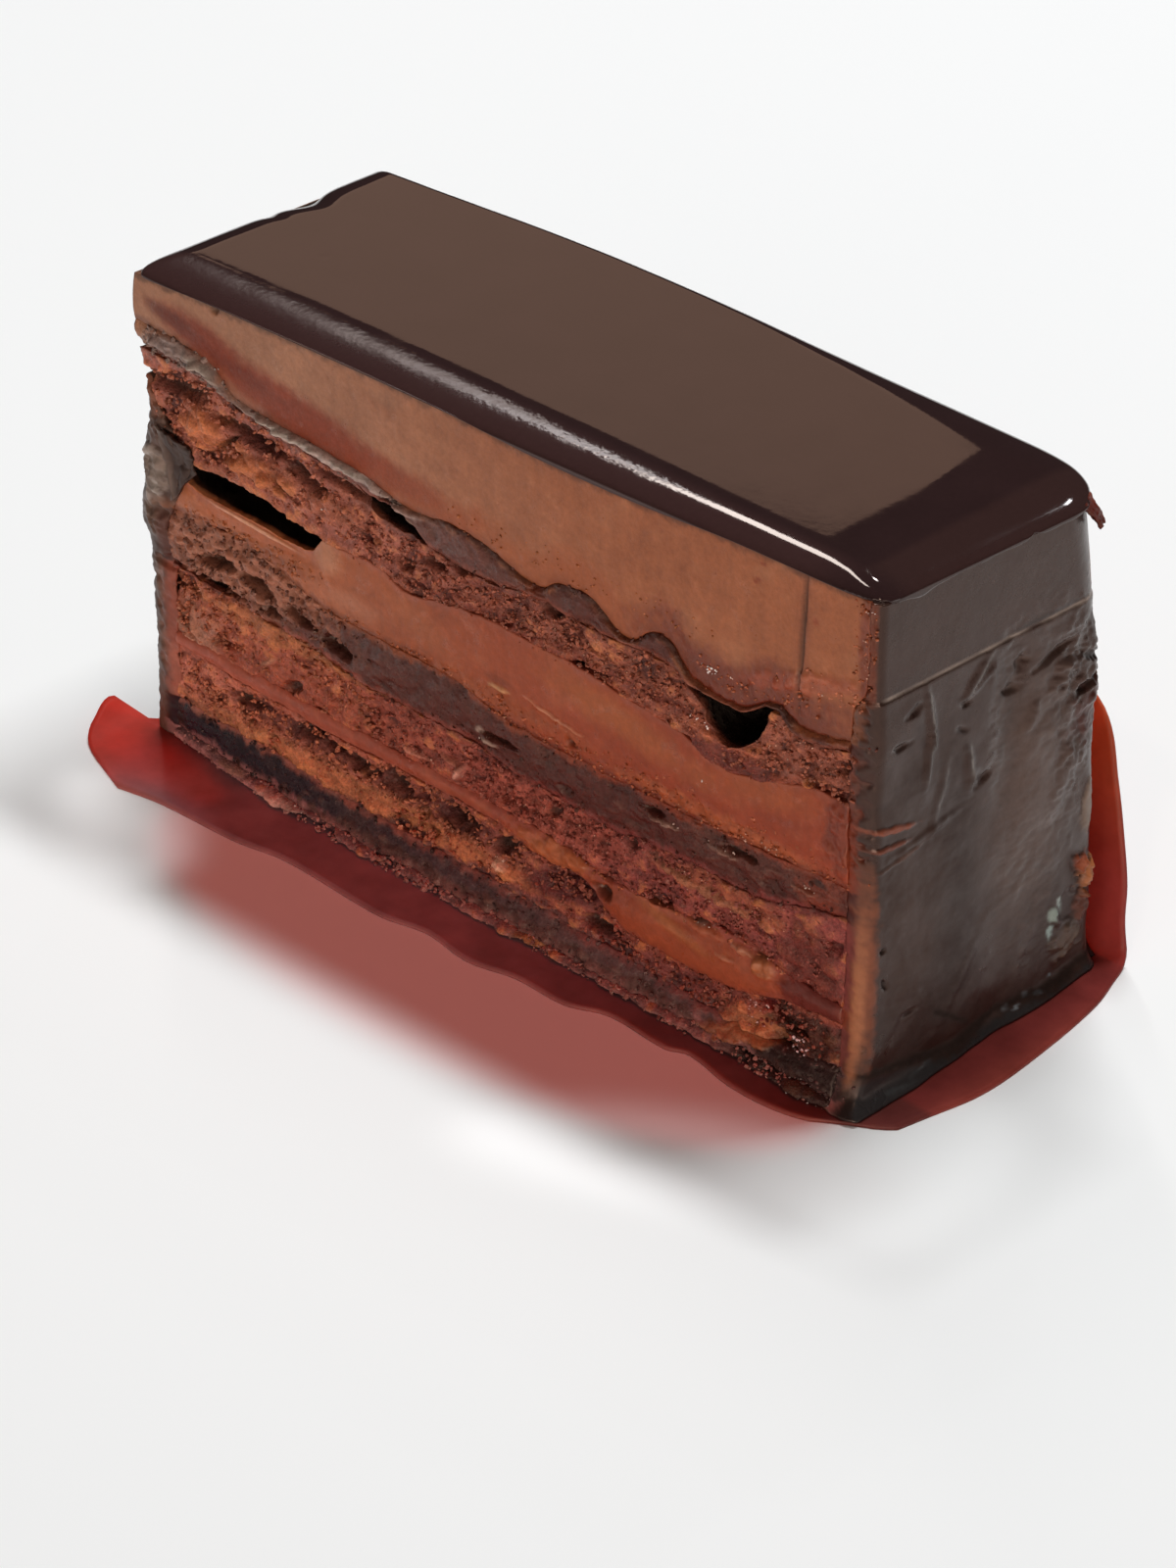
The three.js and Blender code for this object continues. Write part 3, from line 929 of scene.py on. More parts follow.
class Stack:
    """The layers' seams, from the glaze down."""

    SEED = 5
    SWAY = 5.0
    LIFT = 0.6
    UNSEEN = "#6a4a3e"
    BARE_LIT = 0.35
    OPEN_DROP = 0.02

    def __init__(self, outline: Outline, layers: tuple[Layer, ...], hollows: tuple[Hollow, ...],
                 glaze_under: Curve) -> None:
        """Keeps what the seams follow.

        Args:
            outline: the slice's outer faces.
            layers: the layers from the top down.
            hollows: the air pockets.
            glaze_under: the glaze's underside along the cut face.
        """
        self.outline = outline
        self.layers = layers
        self.hollows = hollows
        self.glaze_under = glaze_under
        self.grain = Grain(self.SEED)

    def seams(self, k: int, x: Array, y: Array) -> tuple[Array, Array]:
        """Heights of the upper and lower seams of layer k.

        Args:
            k: number of the layer, from the top.
            x: along the slice.
            y: into the slice.

        Returns:
            The height of each seam at each point.
        """
        inward = np.clip(y / self.outline.depth, 0, 1)
        upper = lower = self.glaze_under(x)
        for row, layer in enumerate(self.layers[: k + 1]):
            upper = lower
            if layer.under is None:
                return upper, np.full(len(x), self.outline.floor)
            slid = x + self.SWAY * inward * np.sin(y / 11 + row * 1.9)
            lifted = self.LIFT * inward * np.sin(x / 13 + row * 2.1)
            rag = 0.0
            if row >= k - 1:
                where = rows(x, y, 9.0 * row)
                rag = self.grain.fractal(where, 1.7, 3, 0.6) + 0.6 * self.grain.smooth(where, 5)
                rag = layer.ware.texture.ragged * rag
            lower = np.minimum(layer.under(slid) + lifted + rag, upper - layer.thinnest)
        return upper, lower

    def drop(self, k: int, x: Array, y: Array) -> Array:
        """How far the layer below layer k lies under its seam.

        Args:
            k: number of the layer, from the top.
            x: along the slice.
            y: into the slice.

        Returns:
            The drop at each point.
        """
        total = np.zeros(len(x))
        for hollow in self.hollows:
            if k >= 0 and hollow.under == self.layers[k].name:
                total += hollow.drop(x) * (1 - ease(y, hollow.reach * 0.3, hollow.reach))
        return total

    def lit(self, k: int, x: Array, tone: Array) -> tuple[Array, Array]:
        """How far in from the cut face the layer below layer k is lit, and its colour there.

        Args:
            k: number of the layer, from the top.
            x: along the slice.
            tone: its colour outside the hollows.

        Returns:
            The distance, and the colour at each point with painted light on the lit floor of each hollow.
        """
        reach = np.full(len(x), self.BARE_LIT)
        for hollow in self.hollows:
            if k >= 0 and hollow.under == self.layers[k].name:
                opened = hollow.drop(x) > self.OPEN_DROP
                reach = np.where(opened, hollow.lit, reach)
                # painted light on the lit floor of the hollow
                tone = tinted(tone, hollow.floor, 0.85 * opened)
        return reach, tone

    def at_face(self, x: Array, z: Array) -> tuple[Array, Array, Array]:
        """What lies at each place of the cut face.

        Args:
            x: along the slice.
            z: height.

        Returns:
            The number of the layer, its colour, and whether a hollow or pit is open there.
        """
        kind = np.full(len(x), -1)
        tone = np.tile(srgb(self.UNSEEN), (len(x), 1))
        opened = np.zeros(len(x), bool)
        inward = np.zeros(len(x))
        for k, layer in enumerate(self.layers):
            upper, lower = self.seams(k, x, inward)
            inside = (z <= upper) & (z > lower)
            kind[inside] = k
            tone[inside] = layer.colour(x / self.outline.length)[inside]
            drop = self.drop(k - 1, x, inward)
            opened |= (drop > self.OPEN_DROP) & (z <= upper + 0.3) & (z > upper - drop - 0.25)
            for mark in layer.marks:
                if mark.push < -0.55:
                    opened |= inside & (mark.weight(inward, x, z) > 0.35)
        return kind, tone, opened


class Side(Enum):
    """A long face of the slice."""

    FRONT = "the cut face"
    BACK = "the back"


class LayerBuilder:
    """Builds the layers of a stack as pieces."""

    STRIPS_ALONG = 420
    STRIPS_IN = 18
    FACE_ZONE = {Side.FRONT: (0.0, 0.42), Side.BACK: (0.9, 1.0)}
    SEED = {Side.FRONT: 20, Side.BACK: 60}
    # painted shade that seam faces take deep inside the slice
    INSIDE_SHADE = "#120a08"
    GLAZE = "#33201a"
    SMEAR = 0.8

    def __init__(self, stack: Stack, maker: Maker) -> None:
        """Keeps what the layers are built from.

        Args:
            stack: the seams.
            maker: what makes the pieces.
        """
        self.stack = stack
        self.maker = maker
        self.outline = stack.outline

    def _faced(self, k: int, side: Side, x: Array, z: Array, up: Array, span: Array) -> tuple[Array, Coated]:
        """Relief and colour of a layer's long face.

        Args:
            k: number of the layer.
            side: which face.
            x: along the slice.
            z: height.
            up: share of the way from the lower seam to the upper.
            span: height between the seams.

        Returns:
            How far each point stands out, and its tone and moisture.
        """
        layer = self.stack.layers[k]
        ware, texture = layer.ware, layer.ware.texture
        grain = Grain(self.SEED[side] + k)
        where = rows(x, 3.0 * k, z)
        rim = grain.fractal(where, 1.6, 4, 0.7)
        marks = layer.marks if side is Side.FRONT else ()
        heights = {Anchor.FACE: z, Anchor.ROOF: (up - 1) * span, Anchor.FLOOR: up * span}
        weights = [mark.weight(rim, x, heights[mark.anchor]) for mark in marks]
        extra = sum((mark.rough * w for mark, w in zip(marks, weights)), np.zeros(len(x)))
        out, proud, crack = texture.relief(grain, where, extra)
        worn = np.abs(2 * up - 1) ** 5 * np.clip(1.4 / span, 0, 1)
        out += layer.belly * np.sin(np.pi * up) - worn * (0.1 + 0.14 * rim) * (1 + 2 * texture.crumb)
        along = x / self.outline.length
        tone = layer.colour(along)
        drift = grain.fractal(where / (1.8, 1, 1), 4.5, 3, 0.6)
        streak = grain.fractal(where / (1, 1, 9), 1.3, 2)
        tone = tone * (1 + 0.35 * ware.contrast * drift + ware.streak * streak)[:, None]
        tone = tinted(tone, ware.light, 0.5 * ware.drift * ease(drift, 0.05, 0.6))
        tone = tinted(tone, ware.deep, 0.5 * ware.drift * ease(-drift, 0.05, 0.6))
        for other, reach in ((k - 1, (1 - up) * span), (k + 1, up * span)):
            if other < len(self.stack.layers):
                smear = 1 - ease(reach / self.SMEAR - 1.3 * rim, 0.1, 1.0)
                shade = self.stack.layers[other].colour(along) if other >= 0 else np.array(srgb(self.GLAZE))
                tone = tone + (shade - tone) * (0.6 * smear)[:, None]
        # painted light and shade: proud bits lighter and tinted towards the ware's light colour, low bits
        # darker and tinted towards its deep colour, crevices darker still
        tone = tone * (1 + 0.8 * ware.contrast * np.clip(proud, -0.9, 0.9))[:, None]
        tone = tinted(tone, ware.light, ware.contrast * ease(proud, 0.3, 1.0))
        tone = tinted(tone, ware.deep, ware.contrast * ease(-proud, 0.35, 1.0))
        tone = tinted(tone, ware.deep, 0.75 * crack * np.clip(texture.crevice * 2, 0, 1))
        wet = 0.2 * ease(drift, 0.0, 0.8)
        for mark, w in zip(marks, weights):
            out += mark.push * w
            if mark.colour:
                own = np.array(srgb(mark.colour)) * (1 + 0.7 * ware.contrast * proud)[:, None]
                tone = tone + (own - tone) * (w * mark.share)[:, None]
            wet = np.maximum(wet, mark.wet * w)
        return out, Coated(where, tone, wet)

    def build(self, k: int) -> None:
        """Builds one layer.

        Args:
            k: its number, from the top.
        """
        layer, outline, stack = self.stack.layers[k], self.outline, self.stack
        shape = block(self.STRIPS_ALONG, self.STRIPS_IN, layer.strips)
        u, v, w = shares_of(shape)
        y = v * v * outline.depth
        x, z = u * outline.length, np.full(len(u), 0.5 * outline.top)
        for _ in range(2):
            upper, lower = stack.seams(k, x, y)
            upper = upper - stack.drop(k - 1, x, y)
            z = mix(lower, upper, w)
            left = outline.left(z) + outline.left_coat(y, z)
            right = outline.right(y, z) - outline.right_coat(y, z) - 0.8 * outline.back_round(y, z)
            x = mix(left, right, u)
        front, back = outline.front(x, z), outline.back(x, z)
        tone, wet = layer.colour(u) * 0.6, np.zeros(len(u))
        for side, (start, end) in self.FACE_ZONE.items():
            zone = (v >= start) & (v <= end)
            out, coated = self._faced(k, side, x[zone], z[zone], w[zone], (upper - lower)[zone])
            fade = 1 - ease(np.abs(v[zone] - (start if side is Side.FRONT else end)), 0.25, 0.42)
            if side is Side.FRONT:
                front[zone] -= out * fade
            else:
                back[zone] += 0.7 * out * fade
            tone[zone], wet[zone] = coated.tone, coated.wet
        y = mix(front, back, v * v)
        seam_face = ((w < 0.001) | (w > 0.999)) & (u > 0.001) & (u < 0.999) & (v < 0.999)
        # painted light: under an open hollow, the seam face takes the painted colour of its lit floor
        lit, painted_lit_floor = stack.lit(k - 1, x, tone)
        roofed = seam_face & (w > 0.5)
        tone = np.where(roofed[:, None], painted_lit_floor, tone)
        # painted shade: seam faces darken towards the inside shade colour past the lit reach from the cut
        # face
        deep = ease(y - outline.front(x, z) - np.where(roofed, lit, stack.BARE_LIT), 0.0, 0.5)
        tone = tinted(tone, self.INSIDE_SHADE, np.where(seam_face, deep, 0))
        coated = Coated(rows(x, y, z), tone, wet)
        ware = layer.ware
        self.maker.piece(f"{layer.name}_cut", shape, coated, ware.finish, ware.slot, (layer.name,))


# ------------------------------------------------------------------ the slice's layers

SPONGE_FINISH = CutFinish(
    "sponge_crumb", rough=0.62, wet_rough=0.2, speck_size=0.3, speck=0.3, relief=0.14, relief_size=0.2,
    moist=0.18,
)
CREAM_FINISH = CutFinish(
    "coffee_cream", rough=0.46, wet_rough=0.25, speck_size=0.5, speck=0.1, relief=0.04, relief_size=0.4,
    moist=0.1, soft=0.1,
)
MOUSSE_FINISH = CutFinish(
    "chocolate_mousse", rough=0.5, wet_rough=0.28, speck_size=0.4, speck=0.1, relief=0.04,
    relief_size=0.35, moist=0.04, soft=0.1,
)
GANACHE_FINISH = CutFinish(
    "ganache", rough=0.48, wet_rough=0.18, speck_size=0.4, speck=0.2, relief=0.1, relief_size=0.3,
    moist=0.18,
)

SPONGE = Ware(
    CutTexture(
        heave=0.4, heave_size=4.0, fine=0.3, fine_size=0.8, crumb=0.42, crumb_size=1.3, crevice=0.9,
        crevice_size=3.0, crevice_level=0.36, stretch=1.5, ragged=0.34,
    ),
    light="#c97a46", deep="#3f2229", finish=SPONGE_FINISH, slot="sponge", contrast=0.6,
)
CREAM = Ware(
    CutTexture(heave=0.14, heave_size=6.0, fine=0.06, fine_size=1.0, ragged=0.26),
    light="#b8714e", deep="#6e3020", finish=CREAM_FINISH, slot="cream",
    contrast=0.3, streak=0.07, drift=0.6,
)
MOUSSE = Ware(
    CutTexture(heave=0.1, heave_size=7.0, fine=0.04, fine_size=1.2, ragged=0.16),
    light="#b67f5e", deep="#7c4028", finish=MOUSSE_FINISH, slot="mousse",
    contrast=0.25, streak=0.12, drift=0.5,
)
GANACHE = Ware(
    CutTexture(
        heave=0.26, heave_size=3.2, fine=0.18, fine_size=0.9, crumb=0.14, crumb_size=0.7, crevice=0.26,
        crevice_size=2.8, crevice_level=0.62, stretch=1.7, ragged=0.3,
    ),
    light="#7d5a4a", deep="#231412", finish=GANACHE_FINISH, slot="ganache", contrast=0.38,
)

MOUSSE_TOP_MARKS = (
    # painted shade: a darker, redder band along the mousse's lower edge at the left
    Mark(8, 44.7, 5.8, 1.6, "#722207", 0.9, turn=-8, soft=0.45, wobble=0.15),
    Mark(20, 41.5, 12.5, 2.2, "#792608", 0.92, turn=-9, soft=0.4, wobble=0.15),
    Mark(34, 39.4, 9, 1.6, "#833113", 0.75, turn=-6, soft=0.6),
    Mark(4.6, 45.2, 3.6, 0.8, "#5a1c0c", 0.8, turn=-10, soft=0.6),
    Mark(13, 43.0, 6, 0.7, "#64200e", 0.6, turn=-10, soft=0.7),
    Mark(55, 1.0, 16, 2.2, "#9a4d28", 0.6, soft=0.6, rough=0.06, anchor=Anchor.FLOOR),
    Mark(76, 1.4, 12, 2.4, "#5e170a", 0.8, soft=0.5, rough=0.22, wet=0.9, anchor=Anchor.FLOOR),
    Mark(82, 38.3, 7, 0.9, "#984933", 0.6, push=0.15, turn=17, rough=0.3, wet=0.9),
    Mark(81.7, 43.2, 0.8, 5.4, "#784432", 0.5, turn=-2, soft=0.8, wobble=0.3),
    Mark(81.6, 42.8, 0.24, 6.2, "#3f241c", 0.9, push=-0.5, turn=-2, soft=0.6, wobble=0.2),
    Mark(81.2, 48.2, 1.2, 0.5, "#5a3426", 0.7),
    Mark(88.6, 44, 1.0, 5, "#6e2e20", 0.8, rough=0.3, wet=0.6),
    Mark(76.6, 45.7, 0.45, 0.17, "#7c2f1c", 0.8, turn=30),
    Mark(77.2, 47.4, 0.35, 0.13, "#7c2f1c", 0.7, turn=10),
    Mark(83, 44.3, 0.3, 0.3, "#7c2f1c", 0.6),
    Mark(10.6, 48.1, 0.5, 0.38, "#4e382e", 0.85, push=-0.3, turn=30),
    Mark(16.5, 48.4, 0.7, 0.25, "#5a3f33", 0.6),
    Mark(33, 47, 1.6, 0.8, "#87604c", 0.4, soft=0.7),
)
GANACHE_UPPER_MARKS = (
    Mark(-0.6, 42, 2.0, 3, "#94654c", 0.95, push=-0.3, soft=0.4),
    Mark(6.3, -1.0, 5.0, 0.95, "#968079", 0.85, push=0.35, rough=0.8, anchor=Anchor.ROOF),
    Mark(8.6, -0.7, 2.4, 0.35, "#a6968a", 0.7, push=0.3, rough=0.5, anchor=Anchor.ROOF),
    Mark(25, -0.35, 11.0, 0.45, "#b59c93", 0.85, push=0.25, rough=0.4, anchor=Anchor.ROOF),
    Mark(20, -0.3, 3.4, 0.22, "#b3a499", 0.8, push=0.3, rough=0.3, anchor=Anchor.ROOF),
    Mark(28, -0.3, 2.2, 0.2, "#b3a499", 0.7, push=0.3, rough=0.3, anchor=Anchor.ROOF),
    Mark(19, -1.5, 5.5, 0.7, "#402620", 0.75, rough=0.5, anchor=Anchor.ROOF),
    # painted shade: a dark line under the mousse along the ganache's top
    Mark(44, -0.12, 7, 0.34, "#33130f", 0.9, soft=0.6, wobble=0.2, anchor=Anchor.ROOF),
    Mark(56.5, -0.12, 5.6, 0.36, "#33130f", 0.9, soft=0.6, wobble=0.2, anchor=Anchor.ROOF),
    Mark(66.2, -0.12, 4, 0.34, "#33130f", 0.9, soft=0.6, wobble=0.2, anchor=Anchor.ROOF),
    Mark(79.6, 34.4, 1.8, 0.9, "#3a1c17", 0.8, rough=0.3),
    Mark(34.5, 35.9, 1.6, 0.2, "#a88c7a", 0.8, push=0.2, turn=6),
    Mark(51.3, 34.9, 2.0, 0.7, "#6a3020", 0.7, rough=0.3),
    pit(7.5, 41.4, 2.4, 0.26, 0.5, turn=-4),
    pit(12.6, 39.2, 2.4, 0.28, 0.6, turn=-8),
    pit(23, 37.1, 2.0, 0.35, 0.6, turn=2),
    pit(33, 37.1, 1.8, 0.28, 0.5, turn=8),
)
SPONGE_UPPER_MARKS = (
    Mark(8, 35.6, 3.0, 1.6, "#b4653e", 0.75, push=0.5, wobble=0.4, rough=0.5),
    Mark(14, 33.6, 6.5, 1.5, "#ac6038", 0.7, push=0.4, wobble=0.4, rough=0.5),
    Mark(25, 33.2, 4.0, 1.2, "#a2583a", 0.5, push=0.3, wobble=0.4, rough=0.3),
    Mark(45, 33.2, 7, 0.8, "#5e2a26", 0.5, wobble=0.5),
    Mark(55, 30.2, 22, 0.7, "#6a2b22", 0.7, wobble=0.4),
    Mark(74, 27.7, 5.5, 1.1, "#662620", 0.85, push=0.25, wet=0.6),
    Mark(73.5, 29.3, 4, 0.35, "#a4543c", 0.7, push=0.3, wet=0.9),
    pit(4.6, 38.2, 4.2, 0.75, 1.4, turn=4, wobble=0.35),
    pit(14.4, 36.7, 4.6, 0.75, 1.5, turn=-6, wobble=0.3),
    pit(21.6, 35.2, 2.6, 0.75, 1.4, turn=-16, wobble=0.35),
    pit(26.5, 36.3, 3.2, 0.5, 1.1, turn=-6, wobble=0.4),
    pit(11.4, 35.0, 1.4, 0.35, 1.0, turn=40, wobble=0.4),
    pit(18.6, 33.2, 1.3, 0.4, 0.9, turn=-30, wobble=0.4),
    pit(34.6, 31.2, 1.1, 0.45, wobble=0.35),
    pit(38.4, 32.7, 1.4, 0.6, wobble=0.35),
    pit(42.2, 33.8, 1.5, 0.6, turn=20, wobble=0.35),
    pit(53, 33.8, 1.1, 0.6, wobble=0.35),
    pit(86.2, 31.4, 0.4, 0.6, wobble=0.5),
    pit(84, 34.2, 3.0, 0.16, 0.5, turn=8),
)
CREAM_MIDDLE_MARKS = (
    Mark(15, 27.1, 7.8, 0.85, "#a65734", 0.95, push=-0.1, soft=0.3, wobble=0.15, wet=0.6),
    # painted highlight: a pale line on the lit edge of the slot's floor
    Mark(14.5, 27.6, 5.8, 0.2, "#d09576", 0.8, push=0.12, turn=-4, wobble=0.15, wet=0.8),
    Mark(60, 26.6, 10, 1.6, "#a35a30", 0.6, turn=-10, soft=0.7),
    Mark(50, 28.6, 5, 1.2, "#8c3c24", 0.5, turn=-6, soft=0.7),
    Mark(78, 26.2, 6, 1.4, "#9c4e28", 0.6, turn=10, soft=0.7),
    Mark(36, 26.2, 4, 1.6, "#a85f3c", 0.5, turn=-20, soft=0.8),
    Mark(27.5, 24.6, 4, 1.0, "#b2745a", 0.5, soft=0.7),
    Mark(24.6, 28.7, 1.6, 1.8, "#b47a5c", 0.7, push=0.2, soft=0.6),
    Mark(13, 25.3, 8.6, 0.7, "#814a38", 0.75, wobble=0.5, rough=0.45),
    pit(9.8, 25.1, 1.8, 0.4, 0.9, wobble=0.5),
    pit(14.6, 24.6, 1.4, 0.3, 0.8, wobble=0.5),
    # painted highlight: a yellowish pale fleck
    Mark(46.6, 23.6, 1.5, 0.24, "#cf9a6c", 0.8, push=0.25, turn=3, wobble=0.6, rough=0.4),
    Mark(46.5, 24.4, 2.0, 0.4, "#74341f", 0.6),
    Mark(53.8, 23.4, 3.6, 0.13, "#c48263", 0.8, push=0.2, turn=-9, wobble=0.3),
    Mark(45, 22.5, 14, 0.9, "#8f4626", 0.6, wobble=0.5, rough=0.2),
    Mark(72, 21.3, 10, 0.8, "#a3522c", 0.6, wobble=0.5, rough=0.35),
    pit(55.5, 21.6, 0.5, 0.35, 0.7),
    Mark(86.3, 25.4, 1.6, 3.6, "#6b2b1d", 0.75, wobble=0.5, rough=0.4, wet=0.5),
)
GANACHE_MIDDLE_MARKS = (
    Mark(11, 22.4, 12, 3.4, "#a0654f", 0.9, push=-0.1, soft=0.5, wobble=0.5, rough=0.6),
    Mark(20, 23, 3, 1.2, "#9d644f", 0.6, wobble=0.6, rough=0.3),
    pit(9.0, 21.7, 2.6, 0.6, 1.4, turn=10, wobble=0.3),
    pit(14.6, 21.4, 2.1, 0.65, 1.4, turn=-8, wobble=0.3),
    pit(20.4, 20.3, 1.8, 0.45, 1.2, turn=-12, wobble=0.4),
    pit(25.4, 19.3, 1.9, 0.75, 1.2, turn=-10, wobble=0.35),
    pit(9.3, 19.3, 3.4, 0.42, 1.0, wobble=0.5),
    pit(16.5, 19.4, 1.6, 0.35, 0.8, wobble=0.5),
    pit(2.2, 19.4, 1.4, 0.6, 0.9),
    pit(46.5, 18.3, 2.2, 0.3, 0.8),
    pit(75.5, 19.2, 1.6, 0.3, 0.6, wobble=0.5),
    pit(65.4, 19.1, 1.4, 0.25, 0.6, wobble=0.5),
    # painted glints: small pale flecks on the ganache
    Mark(44.2, 18.5, 0.5, 0.22, "#a98a7c", push=0.25, turn=30, wobble=0.7),
    Mark(45.2, 17.5, 0.9, 0.22, "#a07f70", push=0.25, wobble=0.7),
    Mark(66.8, 18.5, 1.7, 0.18, "#8d6557", 0.8, push=0.3, wobble=0.8, rough=0.4, wet=0.9),
    Mark(73.3, 18.5, 1.6, 0.22, "#8d6557", 0.8, push=0.3, wobble=0.8, rough=0.4, wet=0.9),
    Mark(82.8, 18.7, 1.2, 0.22, "#94705f", 0.8, push=0.3, wobble=0.8, rough=0.4, wet=0.9),
    Mark(84.6, 19, 2.6, 2, "#7a3524", 0.7, wobble=0.5, wet=0.4),
    Mark(84.5, 20, 0.9, 0.3, "#2a1613", 0.8),
)
SPONGE_MIDDLE_MARKS = (
    Mark(18, 17.3, 15, 1.0, "#b06a40", 0.65, push=0.2, wobble=0.5),
    Mark(17, 13, 13, 1.3, "#954632", 0.85, push=0.2, soft=0.5, wobble=0.4, wet=0.4),
    Mark(41.4, 12.7, 1.1, 0.36, "#cf8d7a", 0.85, push=0.8, turn=62, wobble=0.15),
    Mark(40.4, 13.5, 1.4, 0.25, "#b56a54", 0.7, push=0.5, turn=-6, wobble=0.2),
    Mark(35.5, 12.4, 2, 0.24, "#bd7560", 0.8, push=0.4, turn=-4, wobble=0.3),
    Mark(16, 14, 1.4, 0.2, "#c28468", 0.7, push=0.3, turn=35, wobble=0.3),
    Mark(5, 13, 3.6, 3.2, "#a56f58", 0.75, soft=0.6, wobble=0.5),
    Mark(53.5, 13.1, 8, 2.2, "#ac5544", 0.8, soft=0.7, wobble=0.5),
    Mark(45, 12, 8, 0.6, "#873829", 0.6),
    Mark(83.8, 11, 3.4, 4.6, "#642821", 0.9, push=0.2, soft=0.3, wet=0.5),
    Mark(74, 14.4, 8, 1.2, "#96502f", 0.5, push=0.1, wobble=0.6, rough=0.2),
    pit(53, 13.6, 1.0, 0.5, 0.8, turn=40),
    pit(19.3, 12.6, 1.4, 0.6, 0.9, turn=30, wobble=0.5),
    pit(62.6, 14.4, 1.0, 0.45, 0.8, wobble=0.5),
    Mark(60, 12.2, 12, 0.4, "#8a443a", 0.4, push=-0.2, wobble=0.5),
    Mark(33, 15.6, 9, 0.8, "#844033", 0.6, soft=0.5, wobble=0.5),
    Mark(72, 13.6, 6, 0.5, "#a4684a", 0.6, push=0.3, turn=-4, wobble=0.6, rough=0.4),
)
CREAM_LOWER_MARKS = (
    Mark(71, 7.5, 9.5, 2.0, "#9e4b2e", 0.75, push=0.35, soft=0.4, wobble=0.15, wet=0.5),
    Mark(68, 8.8, 4.5, 0.5, "#b06a40", 0.55, push=0.05, turn=-12, soft=0.7, wobble=0.3),
    Mark(69, 9.9, 5.5, 0.3, "#a85c40", 0.6, push=0.2, wobble=0.6, rough=0.3),
    Mark(71.2, 10.4, 0.6, 0.16, "#c08a78", 0.8, push=0.4, wobble=0.8, rough=0.5, wet=0.9),
    Mark(76.2, 9.9, 1.6, 0.3, "#b47558", 0.75, push=0.4, wobble=0.8, rough=0.6, wet=0.9),
    Mark(78.8, 9.6, 1.2, 0.9, "#a8643f", 0.7, push=0.3, wobble=0.8, rough=0.8, wet=0.7),
    Mark(74.6, 8.5, 0.9, 0.16, "#b47458", 0.7, push=0.2, wobble=0.6),
    Mark(77.5, 5.6, 0.5, 0.4, "#bf7a68", 0.7, push=0.4, wet=0.9),
    Mark(53.5, 9.7, 4.6, 1.2, "#a95a34", 0.8, push=0.25, wobble=0.4, rough=0.3),
    Mark(84.4, 8.6, 3.4, 3, "#602520", 0.92, push=0.15, soft=0.3, wet=0.5),
    pit(60.2, 10.2, 1.5, 0.45, 1.1, wobble=0.4),
    pit(59.4, 8.3, 1.0, 0.7, 1.1, wobble=0.4),
    pit(71, 10.6, 1.2, 0.3, 0.8, wobble=0.5),
    pit(78.2, 10.5, 0.6, 0.5, 0.9, wobble=0.4),
)
SPONGE_LOWER_MARKS = (
    Mark(28, 5.4, 25, 1.1, "#bf7346", 0.65, push=0.25, wobble=0.4),
    Mark(54.6, 6.7, 4.6, 1.4, "#5a2424", 0.92, push=0.15, turn=12, soft=0.3, wobble=0.15, wet=0.5),
    Mark(46.8, 5.7, 0.9, 0.45, "#d6a084", 0.85, push=0.6, wobble=0.4),
    Mark(26, 7.9, 19, 1.0, "#642f2c", 0.7, push=-0.3, soft=0.4, wobble=0.5),
    pit(12.4, 8.2, 1.9, 0.6, 0.9, wobble=0.4, rough=0.3),
    pit(20.4, 8.1, 1.6, 0.65, 1.0, wobble=0.4, rough=0.3),
    pit(23.6, 8.2, 1.2, 0.6, 1.0, wobble=0.4, rough=0.3),
    pit(27.6, 8.0, 2.3, 0.8, 1.1, turn=-10, wobble=0.3, rough=0.3),
    pit(32.8, 8.1, 1.9, 1.0, 1.1, wobble=0.3, rough=0.3),
    pit(36.6, 8.3, 0.9, 0.5, 0.9, wobble=0.4),
    pit(41, 7.8, 2.3, 1.0, 1.1, wobble=0.3, rough=0.3),
    pit(47, 7.6, 1.5, 0.7, 1.0, turn=30, wobble=0.4),
    pit(59.4, 4.8, 2.1, 0.65, 1.3, wobble=0.35),
    pit(81.5, 3.6, 1.8, 0.6, 0.9, turn=-16, wobble=0.5),
    Mark(78.5, 3.4, 4, 1.6, "#b36a44", 0.7, push=0.35, wobble=0.5, rough=0.35),
    Mark(84.5, 5.2, 3.8, 2, "#35170f", 0.9, push=0.2, wobble=0.5, wet=0.8),
)
GANACHE_BASE_MARKS = (
    Mark(85, 2.4, 7, 2.4, "#221715", 0.9, push=0.2, wobble=0.6, wet=0.95),
    Mark(77.5, 2.6, 5, 0.9, "#a9603c", 0.75, push=0.35, turn=18, wobble=0.5, rough=0.45),
    Mark(2.4, 3.0, 1.4, 1.2, "#20110e", 0.8),
    Mark(45, 1.6, 30, 0.8, "#5a382e", 0.5, wobble=0.7, rough=0.2),
)
SPONGE_BASE_MARKS = (
    Mark(19, 1.0, 3, 0.4, "#cf9c8c", 0.7, push=0.4, wobble=0.5),
    Mark(12, 1.2, 2, 0.3, "#b57a68", 0.6, push=0.3, wobble=0.5),
    Mark(53, 0.9, 2.6, 0.35, "#bb7448", 0.75, push=0.3, wobble=0.5),
    Mark(84, 1, 8, 1.2, "#221715", 0.9, push=0.1, wobble=0.5, wet=0.95),
)

